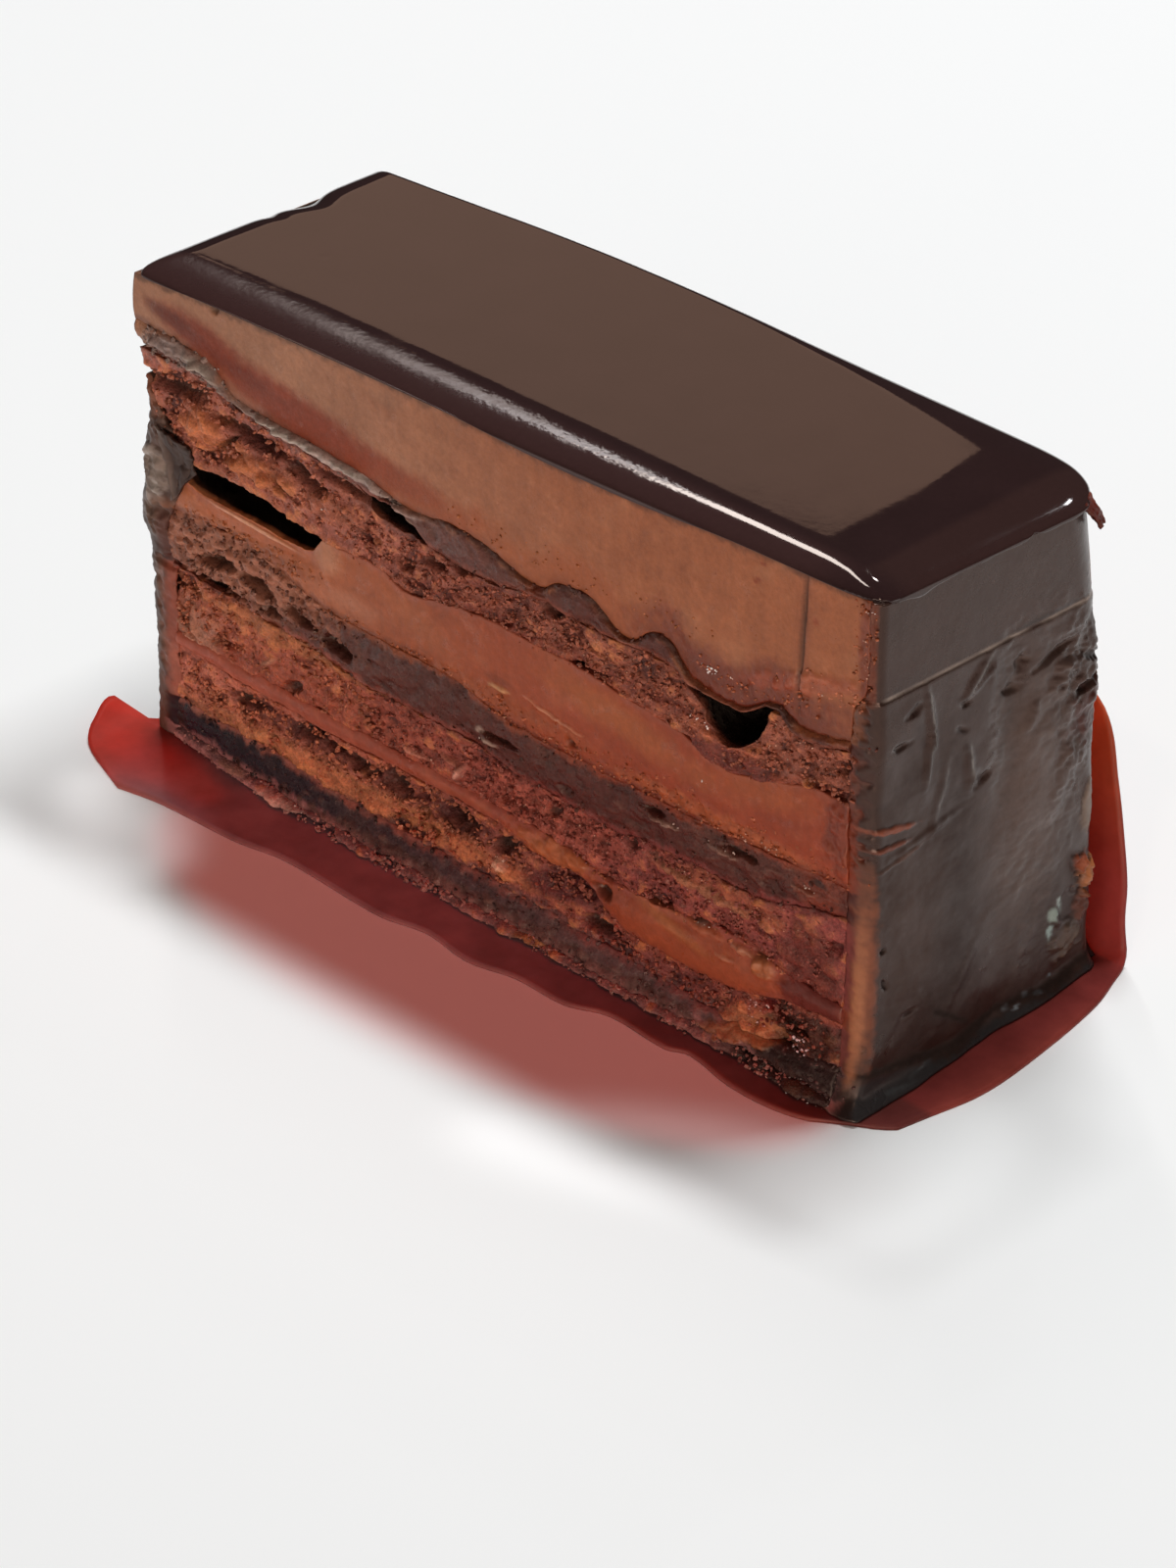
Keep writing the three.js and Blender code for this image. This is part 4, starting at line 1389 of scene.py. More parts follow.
LAYERS = (
    Layer(
        "mousse_top", MOUSSE,
        Curve((
            (0, 43.4), (6, 43), (10, 42.2), (12.5, 40.2), (20, 39.3), (30, 38.4), (35, 37.2), (40, 37.6),
            (45, 37.2), (51, 35.6), (54, 36.8), (58, 36.9), (62, 34.7), (65, 36.4), (67.4, 36.2),
            (69.8, 33.9), (75, 33.3), (79, 35.2), (82, 34.0), (90, 35.4),
        )), thinnest=3.0, belly=0.1, strips=56, shades=("#9c6b51", "#995838"),
        marks=MOUSSE_TOP_MARKS,
    ),
    Layer(
        "ganache_upper", GANACHE,
        Curve((
            (0, 40.8), (9, 40.3), (13, 38.9), (22, 37.9), (30, 36.8), (35, 36.2), (38, 34.3), (45, 33.7),
            (51, 34.3), (57, 33.9), (67, 34), (70, 33), (79, 34.4), (82, 32.9), (90, 34.6),
        )), thinnest=0.45, belly=0.35, strips=16, shades=("#6b453e", "#54231a"),
        marks=GANACHE_UPPER_MARKS,
    ),
    Layer(
        "sponge_upper", SPONGE,
        Curve((
            (0, 31), (14, 31.1), (25, 29.8), (31, 29.8), (35, 28.6), (44, 29.9), (55, 29.5), (67, 28.2),
            (74, 26.6), (83, 28.7), (90, 28.6),
        )), thinnest=1.5, belly=-0.2, strips=42, shades=("#9c5a4d", "#8f4e3d"),
        marks=SPONGE_UPPER_MARKS,
    ),
    Layer(
        "cream_middle", CREAM,
        Curve((
            (0, 25.4), (15, 25.2), (20, 23.6), (26, 22.5), (40, 22.2), (47, 20.7), (60, 20.3), (76, 20.4),
            (90, 21),
        )), thinnest=1.5, belly=0.15, strips=42, shades=("#a05733", "#8f391e"),
        marks=CREAM_MIDDLE_MARKS,
    ),
    Layer(
        "ganache_middle", GANACHE,
        Curve((
            (0, 19.5), (10, 18.8), (20, 18), (30, 16.7), (42, 16.7), (49, 15.7), (60, 15), (66, 15.7),
            (78, 15.8), (84, 17.3), (90, 18.6),
        )), thinnest=0.8, belly=0.2, strips=34, shades=("#542a23", "#4b1c16"),
        marks=GANACHE_MIDDLE_MARKS,
    ),
    Layer(
        "sponge_middle", SPONGE,
        Curve(((0, 12.2), (20, 11.6), (45, 11.3), (53, 11), (62, 9.8), (76, 10.8), (82, 9.6), (90, 9.2))),
        thinnest=1.5, belly=-0.15, strips=38, shades=("#9f503d", "#8a403b"),
        marks=SPONGE_MIDDLE_MARKS,
    ),
    Layer(
        "cream_lower", CREAM,
        Curve((
            (0, 10.8), (20, 9.7), (45, 9.6), (51, 8.6), (57, 8.4), (61, 6.1), (67, 5.5), (76, 5.8), (82, 7.2),
            (90, 7.6),
        )), thinnest=0.6, belly=0.25, strips=22, shades=("#a24f3b", "#95442d"),
        marks=CREAM_LOWER_MARKS,
    ),
    Layer(
        "sponge_lower", SPONGE,
        Curve(((0, 4.9), (20, 4.6), (30, 4), (47, 3.8), (62, 3.4), (78, 3), (90, 3.8))),
        thinnest=1.0, belly=-0.15, strips=36, shades=("#bb6955", "#83423c"),
        marks=SPONGE_LOWER_MARKS,
    ),
    Layer(
        "ganache_base", GANACHE, Curve(((0, 1.8), (25, 1.3), (60, 1.2), (90, 1.4))),
        thinnest=0.8, belly=0.2, strips=20, shades=("#221822", "#5f4443"),
        marks=GANACHE_BASE_MARKS,
    ),
    Layer(
        "sponge_base", SPONGE, None, thinnest=0.5, belly=0.25, strips=14, shades=("#af6f6c", "#9e635e"),
        marks=SPONGE_BASE_MARKS,
    ),
)

HOLLOWS = (
    Hollow("sponge_upper", Curve((
        (4.4, 0), (5.2, 2.2), (9, 2.9), (16, 3.1), (21, 2.5), (22.5, 1.9), (23.2, 1.0), (23.9, 0),
    )), reach=11.0, lit=0.4, floor="#e89060"),
    Hollow("ganache_upper", Curve((
        (28.8, 0), (30.2, 0.8), (32, 1.6), (34.2, 1.8), (35.8, 1.3), (37.1, 0.4), (37.8, 0),
    )), reach=7.0, lit=0.1),
    Hollow("ganache_upper", Curve((
        (68.4, 0), (69.4, 0.5), (70.6, 1.1), (71.6, 2.6), (73.4, 3.6), (75.4, 3.4), (77.2, 2.5), (78, 1.6),
        (78.7, 0),
    )), reach=10.0, lit=0.1),
)

GLAZE_UNDER = Curve(((0, 48.1), (12, 48.5), (40, 48.5), (52, 48), (64, 48), (74, 48.4), (90, 48.2)))


# ------------------------------------------------------------------ glaze


@dataclass(frozen=True)
class Glaze:
    """The mirror glaze on top of the slice, a flat that rolls over at every edge.

    Attributes:
        outline: the slice's outer faces.
        under: its underside along the cut face.
        fall: how far it rolls down.
        front_width: how far from the cut face it starts to fall, along x.
        back_width: the same from the back, along x.
        left_width: the same from the left end.
        right_width: the same from the right end, along y.
        front_turn: how sharply it turns at the cut face; more is sharper.
        end_turn: the same at the right end.
        bead: height of the bead along the right end.
        corner: how square the corners are.
        round_corner: the same at the right end's back.
        nicks: place, half length and depth of each nick in its left edge.
        drips: place, half width and length of each drip at its right end.
        speck_at: place of a pinhole in its flat.
        tone: its colour.
        end_painted_light: painted reflection, a lighter colour on the band before the right end.
        front_painted_reflection: painted reflection, its colour where it falls to the cut face.
        finish: its surface.
    """

    STRIPS = (230, 110, 6)
    SEED = 3

    outline: Outline
    under: Curve
    fall: float = 1.2
    front_width: Curve = Curve(((0, 6.2), (30, 6.2), (60, 5.2), (76, 4.3), (90, 4.0)))
    back_width: Curve = Curve(((0, 1.2), (46, 1.4), (62, 2.9), (80, 5.2), (90, 5.8)))
    left_width: float = 3.2
    right_width: Curve = Curve(((0, 9.2), (30, 12.2)))
    front_turn: float = 1.7
    end_turn: float = 1.6
    bead: float = 0.04
    corner: float = 5.0
    round_corner: float = 3.6
    nicks: tuple[tuple[float, float, float], ...] = ((20.0, 2.4, 1.2), (15.6, 1.0, 0.4))
    drips: tuple[tuple[float, float, float], ...] = ((5, 1.4, 0.5), (18.5, 0.6, -0.3))
    speck_at: tuple[float, float] = (11.5, 12.5)
    tone: str = "#2b1c1c"
    end_painted_light: str = "#3a2724"
    front_painted_reflection: str = "#3b2726"
    finish: GlossFinish = GlossFinish(
        "mirror_glaze", rough=0.035, smear=0.03, ripple=0.002, ripple_size=0.8, speck=0.05,
        beading=0.013,
    )

    def build(self, maker: Maker) -> None:
        """Builds the glaze.

        Args:
            maker: what makes the piece.
        """
        outline = self.outline
        shape = block(*self.STRIPS)
        u, v, w = shares_of(shape)
        along, across = dense_ends(u, 0.85), dense_ends(v, 0.85)
        y = mix(0, outline.depth, across)
        left = outline.left(outline.top) + sum(bite * bell(y, at, half) for at, half, bite in self.nicks)
        right = outline.right(y, outline.top) + outline.glaze_proud
        x = mix(left, right, along)
        front = outline.front(x, outline.top) - outline.glaze_proud
        back = outline.back(x, outline.top) + outline.glaze_proud
        y = mix(front, back, across)
        to_left = np.clip(1 - (x - left) / self.left_width, 0, 1)
        to_right = np.clip(1 - (right - x) / self.right_width(y), 0, 1)
        to_front = np.clip(1 - (y - front) / self.front_width(x), 0, 1)
        to_back = np.clip(1 - (back - y) / self.back_width(x), 0, 1)
        ends, sides = to_left + to_right, to_front + to_back
        square = mix(self.corner, self.round_corner, ease(to_right * to_back, 0.0, 0.25))
        reach = (ends**square + sides**square) ** (1 / square)
        over = 1 - 1 / np.maximum(reach, 1)
        x += over * (to_left * self.left_width - to_right * self.right_width(y))
        y += over * (to_front * self.front_width(x) - to_back * self.back_width(x))
        reach = np.minimum(reach, 1)
        turn = mix(self.front_turn, self.end_turn, np.clip((to_right + 1e-6) / (ends + sides + 1e-6), 0, 1))
        drop = self.fall * (1 - np.sqrt(1 - reach**turn))
        grain = Grain(self.SEED)
        where = rows(x, y, 0.0)
        lively = 1 - ease(x, 55, 74)
        top = outline.top - drop + self._relief(grain, where, reach, right - x, lively)
        under = self.under(x)
        drip = sum(length * bell(y, at, half) for at, half, length in self.drips)
        under -= (0.1 + drip + 0.2 * grain.smooth(where, 3.0)) * ease(to_right, 0.93, 1.0)
        z = mix(under, np.maximum(top, under + 0.05), w)
        tone = clouded(self.tone, 0.15 * grain.fractal(where, 6, 3))
        # painted reflection: lighter tones on the band before the right end and where the glaze falls to the
        # cut face
        tone = tinted(tone, self.end_painted_light, 0.5 * ease(to_right, 0.5, 0.62) * ease(y, 2, 5))
        tone = tinted(tone, self.front_painted_reflection, 0.85 * ease(to_front, 0.1, 0.5) * (1 - ease(x, 80, 88)))
        dull = mix(0.12, 0.03, ease(x, 10, 62)) * ease(to_front, 0.15, 0.4) * lively
        dull += 0.35 * (to_front > 0.99) * (w < 0.9)
        coated = Coated(rows(x, y, z), tone, dull)
        maker.piece("glaze_mirror", shape, coated, self.finish, "glaze", ("glaze_top",))

    def _relief(self, grain: Grain, where: Array, reach: Array, from_right: Array, lively: Array) -> Array:
        """Fine relief of its top.

        Args:
            grain: the noise to read.
            where: places, taken as level.
            reach: how far towards the rim each lies, from 0 on the flat to 1.
            from_right: distance to the right end.
            lively: 1 where it is wavy, 0 where it is calm.

        Returns:
            How far each point stands up.
        """
        x, y, _ = where.T
        border = ease(reach, 0.02, 0.3) * (1 - ease(reach, 0.75, 1.0))
        relief = 0.02 * grain.smooth(where, 13) * border
        ripples = 0.004 * grain.fractal(where, 0.9, 2) + 0.014 * grain.smooth(where, 4)
        relief += ripples * border * (0.15 + 0.85 * lively)
        relief += self.bead * bell(from_right, 4.6, 0.9) * ease(y, 1.5, 4) * (1 - ease(y, 23, 27))
        pinhole = np.hypot(x - self.speck_at[0], y - self.speck_at[1])
        return relief - 0.05 * bell(pinhole, 0, 0.22)


# ------------------------------------------------------------------ coats


COAT_FINISH = GlossFinish(
    "chocolate_coat", rough=0.16, smear=0.2, ripple=0.04, ripple_size=1.4, speck=0.12,
    tint=(0.92, 0.62, 0.52),
)
FOLD_TEXTURE = CutTexture(heave=0.2, heave_size=2.5, fine=0.3, fine_size=0.8, crumb=0.4, crumb_size=0.9)


@dataclass(frozen=True)
class RightCoat:
    """The chocolate coat on the glazed right end, with its foot pool.

    Attributes:
        outline: the slice's outer faces.
        under_glaze: the glaze's underside along the cut face.
        seam_height: the line below which it steps out.
        seam_step: that step.
        pool_height: height of the pool at its foot.
        pool_reach: how far the pool spreads out.
        pool_spread: share of that by which it also passes the cut face.
        tone: its colour.
        lip_highlight_tone: painted highlight along the lit lip of the seam.
        seam_shade_tone: painted shade, the dark line in the gap over the seam.
        shore_tone: colour of the pool's wet rim and of the run that leads down to it.
        pool_sheen_tone: painted sheen, a grey over the pool.
        folds: ridges, dips and patches on its outer face, by y and z, with painted highlights and glints
            among them.
        stains: patches on its narrow front, by x and z.
    """

    STRIPS = (10, 108, 300)
    SEED = 77

    outline: Outline
    under_glaze: Curve
    seam_height: float = 39.3
    seam_step: float = 0.16
    pool_height: float = 2.4
    pool_reach: float = 1.8
    pool_spread: float = 0.4
    tone: str = "#33231e"
    lip_highlight_tone: str = "#a8968a"
    seam_shade_tone: str = "#150d0c"
    shore_tone: str = "#140f0e"
    pool_sheen_tone: str = "#2c2c2d"
    folds: tuple[Mark, ...] = (
        Mark(6.9, 35.2, 0.4, 2.6, push=0.34, turn=10, soft=0.8),
        Mark(6.8, 32.2, 0.35, 2.2, push=0.34, turn=-8, soft=0.8),
        Mark(8.2, 27.4, 0.45, 3.0, push=0.2, turn=-16, soft=0.9),
        Mark(12.4, 37.0, 0.45, 2.0, push=0.3, turn=-42, soft=0.8),
        Mark(11.9, 28.6, 0.45, 1.9, push=0.34, turn=6, soft=0.8),
        Mark(7, 24.6, 3.6, 0.35, push=0.2, turn=7, soft=0.9),
        # painted highlights: pale lines along the lit side of the ridges
        Mark(7.15, 35.4, 0.14, 2.5, "#8f867c", 0.75, turn=10, soft=0.8),
        Mark(7.05, 32.2, 0.12, 2.0, "#857c72", 0.7, turn=-8, soft=0.8),
        Mark(8.5, 27.4, 0.14, 2.6, "#8a8176", 0.7, turn=-16, soft=0.8),
        Mark(12.2, 28.8, 0.14, 1.7, "#a0978b", 0.8, turn=6, soft=0.8),
        Mark(13.0, 37.2, 0.12, 1.8, "#7d746a", 0.6, turn=-42, soft=0.8),
        # painted glints: pale, bluish dots along the foot pool's edge
        Mark(18.4, 1.7, 0.3, 0.2, "#b4bfc6", 0.8, turn=20, wobble=0.9),
        Mark(19.6, 1.2, 0.5, 0.16, "#a8b4bb", 0.8, turn=10, wobble=0.9),
        Mark(21.0, 1.8, 0.3, 0.2, "#93a3ad", 0.8, wobble=0.9),
        Mark(22.6, 1.3, 0.6, 0.16, "#8f9ca4", 0.7, turn=-12, wobble=0.9),
        Mark(24.6, 2.0, 0.35, 0.2, "#7f9099", 0.7, wobble=0.9),
        Mark(3.0, 1.0, 1.6, 0.14, "#777e80", 0.6, turn=-4, wobble=0.8),
        Mark(6.8, 1.3, 1.2, 0.14, "#6d7476", 0.6, turn=4, wobble=0.8),
        Mark(14.6, 36.8, 0.3, 1.2, push=0.2, soft=0.8),
        Mark(4.8, 37.1, 0.7, 0.35, push=-0.3, turn=20, soft=0.7, wobble=0.6),
        Mark(3.4, 34.4, 0.9, 0.25, push=-0.25, soft=0.7, wobble=0.6),
        Mark(11.1, 35.2, 0.5, 0.3, push=-0.3, soft=0.7, wobble=0.6),
        Mark(10.9, 32.9, 0.5, 0.25, push=-0.25, turn=-30, soft=0.7, wobble=0.6),
        Mark(18.2, 35.9, 0.5, 1.0, push=-0.4, soft=0.7, wobble=0.6),
        Mark(17.3, 34, 0.8, 0.35, push=-0.35, soft=0.7, wobble=0.6),
        Mark(22, 35.6, 2.0, 0.35, push=-0.4, turn=16, soft=0.7, wobble=0.6),
        Mark(25.5, 34.4, 1.8, 0.3, push=-0.3, turn=-10, soft=0.7, wobble=0.6),
        Mark(14, 27.0, 1.0, 0.35, push=-0.35, turn=28, soft=0.7, wobble=0.6),
        Mark(17.2, 31, 1.6, 5.5, "#231915", 0.6, push=-0.4, soft=0.95, wobble=0.5),
        Mark(12.6, 27.9, 0.5, 0.6, push=0.3, soft=0.8, wobble=0.5),
        Mark(13.4, 36.6, 1.3, 0.3, push=0.25, turn=35, soft=0.7, wobble=0.6),
        Mark(23.6, 33.4, 1.6, 1.0, push=0.35, turn=20, soft=0.8, wobble=0.6),
        Mark(19.4, 30.4, 0.5, 1.4, push=0.3, turn=-25, soft=0.8, wobble=0.5),
        Mark(24.6, 23, 1.2, 3.0, push=0.3, turn=-20, soft=0.9, wobble=0.4),
        Mark(8.5, 16, 8.5, 14, "#1c110f", 0.85, soft=0.9, wobble=0.5),
        Mark(22, 10, 5.5, 8, "#1f1311", 0.8, soft=0.9, wobble=0.5),
        Mark(20, 22, 4.5, 12, "#5f4d46", 0.65, soft=0.9, wobble=0.5),
        Mark(6, 26, 5, 9, "#2c1f1b", 0.45, soft=0.9, wobble=0.5),
        Mark(12.5, 8.5, 0.5, 4, push=0.15, turn=-35, soft=0.9, wobble=0.4),
        Mark(21.5, 22, 3.4, 11, push=0.4, soft=0.95),
        Mark(5.5, 16, 3.5, 8, "#4a3024", 0.4, push=0.15, soft=0.95),
        Mark(26.8, 31, 3.0, 5.6, push=0.3, soft=0.7, wobble=0.5, rough=0.7),
        Mark(26.4, 30.8, 1.6, 0.5, "#1c110f", 0.8, push=-0.5, turn=10, soft=0.5, wobble=0.6),
        Mark(27.4, 33.4, 1.3, 0.4, "#1c110f", 0.8, push=-0.5, turn=-20, soft=0.5, wobble=0.6),
        Mark(27, 28, 2.0, 2.4, "#451d18", 0.7, push=-0.1, soft=0.5, wobble=0.8),
        Mark(28, 37, 1.6, 1.6, "#241512", 0.5, push=-0.1, soft=0.5, wobble=0.7),
        Mark(25, 7.8, 0.4, 1.3, push=0.4, turn=28, soft=0.6),
        # painted glint: pale streaks on the lump near the foot
        Mark(24.4, 8.4, 0.6, 0.8, "#93a198", 0.8, turn=28),
        Mark(25.6, 8.8, 0.35, 1.1, "#c3d2cb", 0.9, turn=24, wobble=0.5),
        Mark(24.3, 6.6, 0.35, 0.7, "#a9bdb8", 0.8, turn=10, wobble=0.5),
        Mark(27, 8.2, 1.7, 1.6, "#241210", 0.8, push=-0.3, wobble=0.6),
        Mark(26.8, 4.6, 1.8, 1.6, "#5a473a", 0.6, push=0.2, wobble=0.7, rough=0.6),
        Mark(1.6, 15.4, 0.3, 0.2, "#120b0a", push=-0.3, turn=30),
        Mark(2, 11.9, 0.25, 0.6, "#120b0a", push=-0.3, turn=20),
        Mark(5.2, 7.7, 0.8, 0.2, "#2a100c", push=-0.2),
        Mark(2.6, 26.8, 3.0, 0.3, "#8d4a34", 0.8, push=0.2, turn=-12, wobble=0.5),
        Mark(2.2, 25.2, 2.4, 0.25, "#7a402e", 0.7, push=0.2, turn=-6, wobble=0.5),
        Mark(4, 23.6, 2.8, 0.2, "#5e3a2c", 0.5, push=0.15, turn=8, wobble=0.5),
        Mark(29.2, 10.6, 1.3, 1.5, "#b26b40", 0.8, push=0.5, wobble=1.0, rough=1.4),
        Mark(27.9, 12.4, 0.9, 0.7, "#8c4630", 0.8, push=0.3, wobble=1.0, rough=1.2),
        Mark(28.6, 7.6, 0.9, 1.2, "#5c3024", 0.8, push=0.2, wobble=0.9, rough=1.0),
        Mark(28.5, 17.5, 0.9, 2.4, "#8d7766", 0.6, push=0.15, wobble=0.5),
        Mark(28.2, 43.2, 1.2, 3.6, "#b08a76", 0.85, soft=0.5),
        Mark(30.6, 14, 0.6, 14, "#a0837a", 0.6, soft=0.5),
        Mark(29.2, 32, 0.6, 7, "#b09488", 0.7, soft=0.5),
        Mark(0.2, 14, 0.8, 8, "#8a4c32", 0.7, soft=0.6, wobble=0.5),
    )
    stains: tuple[Mark, ...] = (
        Mark(87.4, 11, 1.5, 11, "#562a23", 0.75, soft=0.6, wobble=0.4),
        Mark(89.2, 9.9, 0.75, 7.4, "#9e6242", 0.95, push=0.12, soft=0.6, wobble=0.3, rough=0.1),
        Mark(88.6, 0.8, 3.2, 1.7, "#1f1513", 0.95, soft=0.4, wobble=0.6, rough=0.3),
        Mark(88.6, 44, 1.6, 5.2, "#66301f", 0.9, soft=0.4, wobble=0.6, rough=0.5),
        Mark(87.6, 25.5, 1.2, 1.0, "#70382a", 0.6, wobble=0.8, rough=0.6),
        Mark(88.0, 32, 1.6, 6, "#3a2420", 0.7, wobble=0.8, rough=0.5),
    )

    def pool(self, y: Array, z: Array) -> Array:
        """How far the pool at the foot reaches out."""
        uneven = 1 + 0.12 * np.sin(y / 3.1)
        return self.pool_reach * uneven * np.clip(1 - z / self.pool_height, 0, 1) ** 2.4

    def _outer_face(self, grain: Grain, face: Array) -> tuple[Array, Array, Array]:
        """Relief and colour of the face that points to the right.

        Args:
            grain: the noise to read.
            face: places on it.

        Returns:
            How far each point stands out, its colour and its dullness.
        """
        _, y, z = face.T
        rim = grain.fractal(face, 1.2, 3, 0.6)
        tone = clouded(self.tone, 0.2 * grain.fractal(face, 5, 3))
        out = self.seam_step * (1 - ease(z, self.seam_height - 0.3, self.seam_height))
        below = ease(-z, -self.seam_height, -self.seam_height + 2)
        out += 0.26 * grain.fractal(face, 6.5, 2) * (0.25 + below)
        out += 0.045 * grain.fractal(face, 2.2, 2) * below
        torn = ease(y, 15, 24) * ease(z, 22, 27) * (1 - ease(z, 37, 39))
        out += 0.3 * grain.fractal(face, 2.8, 2, 0.5) * torn
        rough, _, _ = FOLD_TEXTURE.relief(grain, face, np.zeros(len(face)))
        dull = np.zeros(len(face))
        for fold in self.folds:
            weight = fold.weight(rim, y, z)
            out += fold.push * weight + fold.rough * rough * weight
            if fold.colour:
                tone = tinted(tone, fold.colour, weight * fold.share)
                dull = np.maximum(dull, 0.3 * weight * fold.share)
        dull = np.maximum(dull, 0.16 * (1 - ease(z, 3, 7)) * ease(z, 1.2, 2.6))
        streaks = grain.fractal(face / (1, 4, 1), 1.2, 3)
        tone *= (1 + 0.18 * streaks)[:, None]
        ledge = self.seam_height + 0.004 * (15 - y)
        # painted highlight along the lip of the seam's ledge
        lip = bell(z, ledge, 0.13) * ease(y, 1, 2)
        tone = tinted(tone, self.lip_highlight_tone, lip * (0.55 + 0.9 * grain.smooth(face, 3)))
        # painted shade: a dark line in the gap over the ledge
        seam_shade = bell(z, ledge + 0.34, 0.16) * (ease(y, 16, 19) - ease(y, 24.5, 26))
        seam_shade += 0.6 * bell(z, ledge + 0.4, 0.2) * ease(grain.smooth(face, 1.1), 0.2, 0.4)
        tone = tinted(tone, self.seam_shade_tone, 0.9 * seam_shade)
        pool_line = 1.5 + 2.2 * np.exp(-np.maximum(y, 0) / 5.5) + 0.35 * np.sin(y / 2.3)
        shore = bell(z, pool_line + 0.5 * rim, 0.55)
        run = bell(z, 6.0 - 0.72 * (y - 8.7) + 0.4 * rim, 0.4) * (ease(y, 8.2, 9.2) - ease(y, 12, 14.5))
        dark = np.maximum(shore, run)
        tone = tinted(tone, self.shore_tone, 0.85 * dark)
        dull = np.maximum(dull, 0.6 * dark)
        # painted sheen: a grey over the pool below its wet rim
        pool_sheen = 1 - ease(z + 0.5 * rim, pool_line - 1, pool_line - 0.4)
        tone = tinted(tone, self.pool_sheen_tone, 0.8 * pool_sheen)
        return out, tone, dull

    def build(self, stack: Stack, maker: Maker) -> None:
        """Builds the coat.

        Args:
            stack: the layers beside it.
            maker: what makes the piece.
        """
        outline = self.outline
        shape = block(*self.STRIPS)
        u, v, w = shares_of(shape)
        z = mix(outline.floor, self.under_glaze(np.full(len(u), outline.length)) - 0.02, w)
        foot = self.pool(np.zeros(len(z)), z)
        front = outline.front(outline.length, z) - self.pool_spread * foot
        back = outline.back(outline.length, z) + self.pool_spread * foot / 2 + 0.6 * (1 - ease(z, 0, 32))
        y = mix(front, back, dense_ends(v, 0.5))
        grain = Grain(self.SEED)
        face = rows(outline.length, y, z)
        out, tone, dull = self._outer_face(grain, face)
        from_front = (y - front) / 0.9
        out -= 0.55 * (1 - np.sqrt(1 - np.clip(1 - from_front, 0, 1) ** 2))
        out -= outline.back_round(y, z)
        outer = outline.right(y, z) + out + self.pool(y, z)
        ragged = 0.6 * grain.fractal(rows(0.0, 0.0, z), 2.0, 4, 0.7)
        inner = outline.right(y, z) - outline.right_coat(y, z) - 0.1 - 0.95 * outline.back_round(y, z)
        inner += ragged * outline.wrap(outline.length, y, z)
        x = mix(inner, outer, u)
        at_front = v < 0.001
        spot = rows(x, 0.0, z)
        edge = grain.fractal(spot, 1.0, 3, 0.6)
        bulge = 0.25 * np.sin(np.pi * u) + 0.12 * edge
        for stain in self.stains:
            weight = stain.weight(edge, x, z) * at_front
            bulge += (stain.push + stain.rough * edge) * weight
            tone = tinted(tone, stain.colour, weight * stain.share)
            dull = np.maximum(dull, 0.25 * weight)
        _, beside, _ = stack.at_face(np.minimum(x, 86.5) + 1.5 * edge, z + 0.5 * edge)
        near = (1 - ease(u + 0.7 * edge, 0.1, 0.75)) * at_front
        near *= (1 - ease(z, 38, 40)) * (1 - 0.35 * ease(z, 20, 26))
        tone = tone + (beside * (0.85 + 0.6 * edge)[:, None] - tone) * near[:, None]
        coated = Coated(rows(x, y - bulge * at_front, z), tone, dull)
        maker.piece("coat_right_folds", shape, coated, COAT_FINISH, "coat", ("coat_right",))


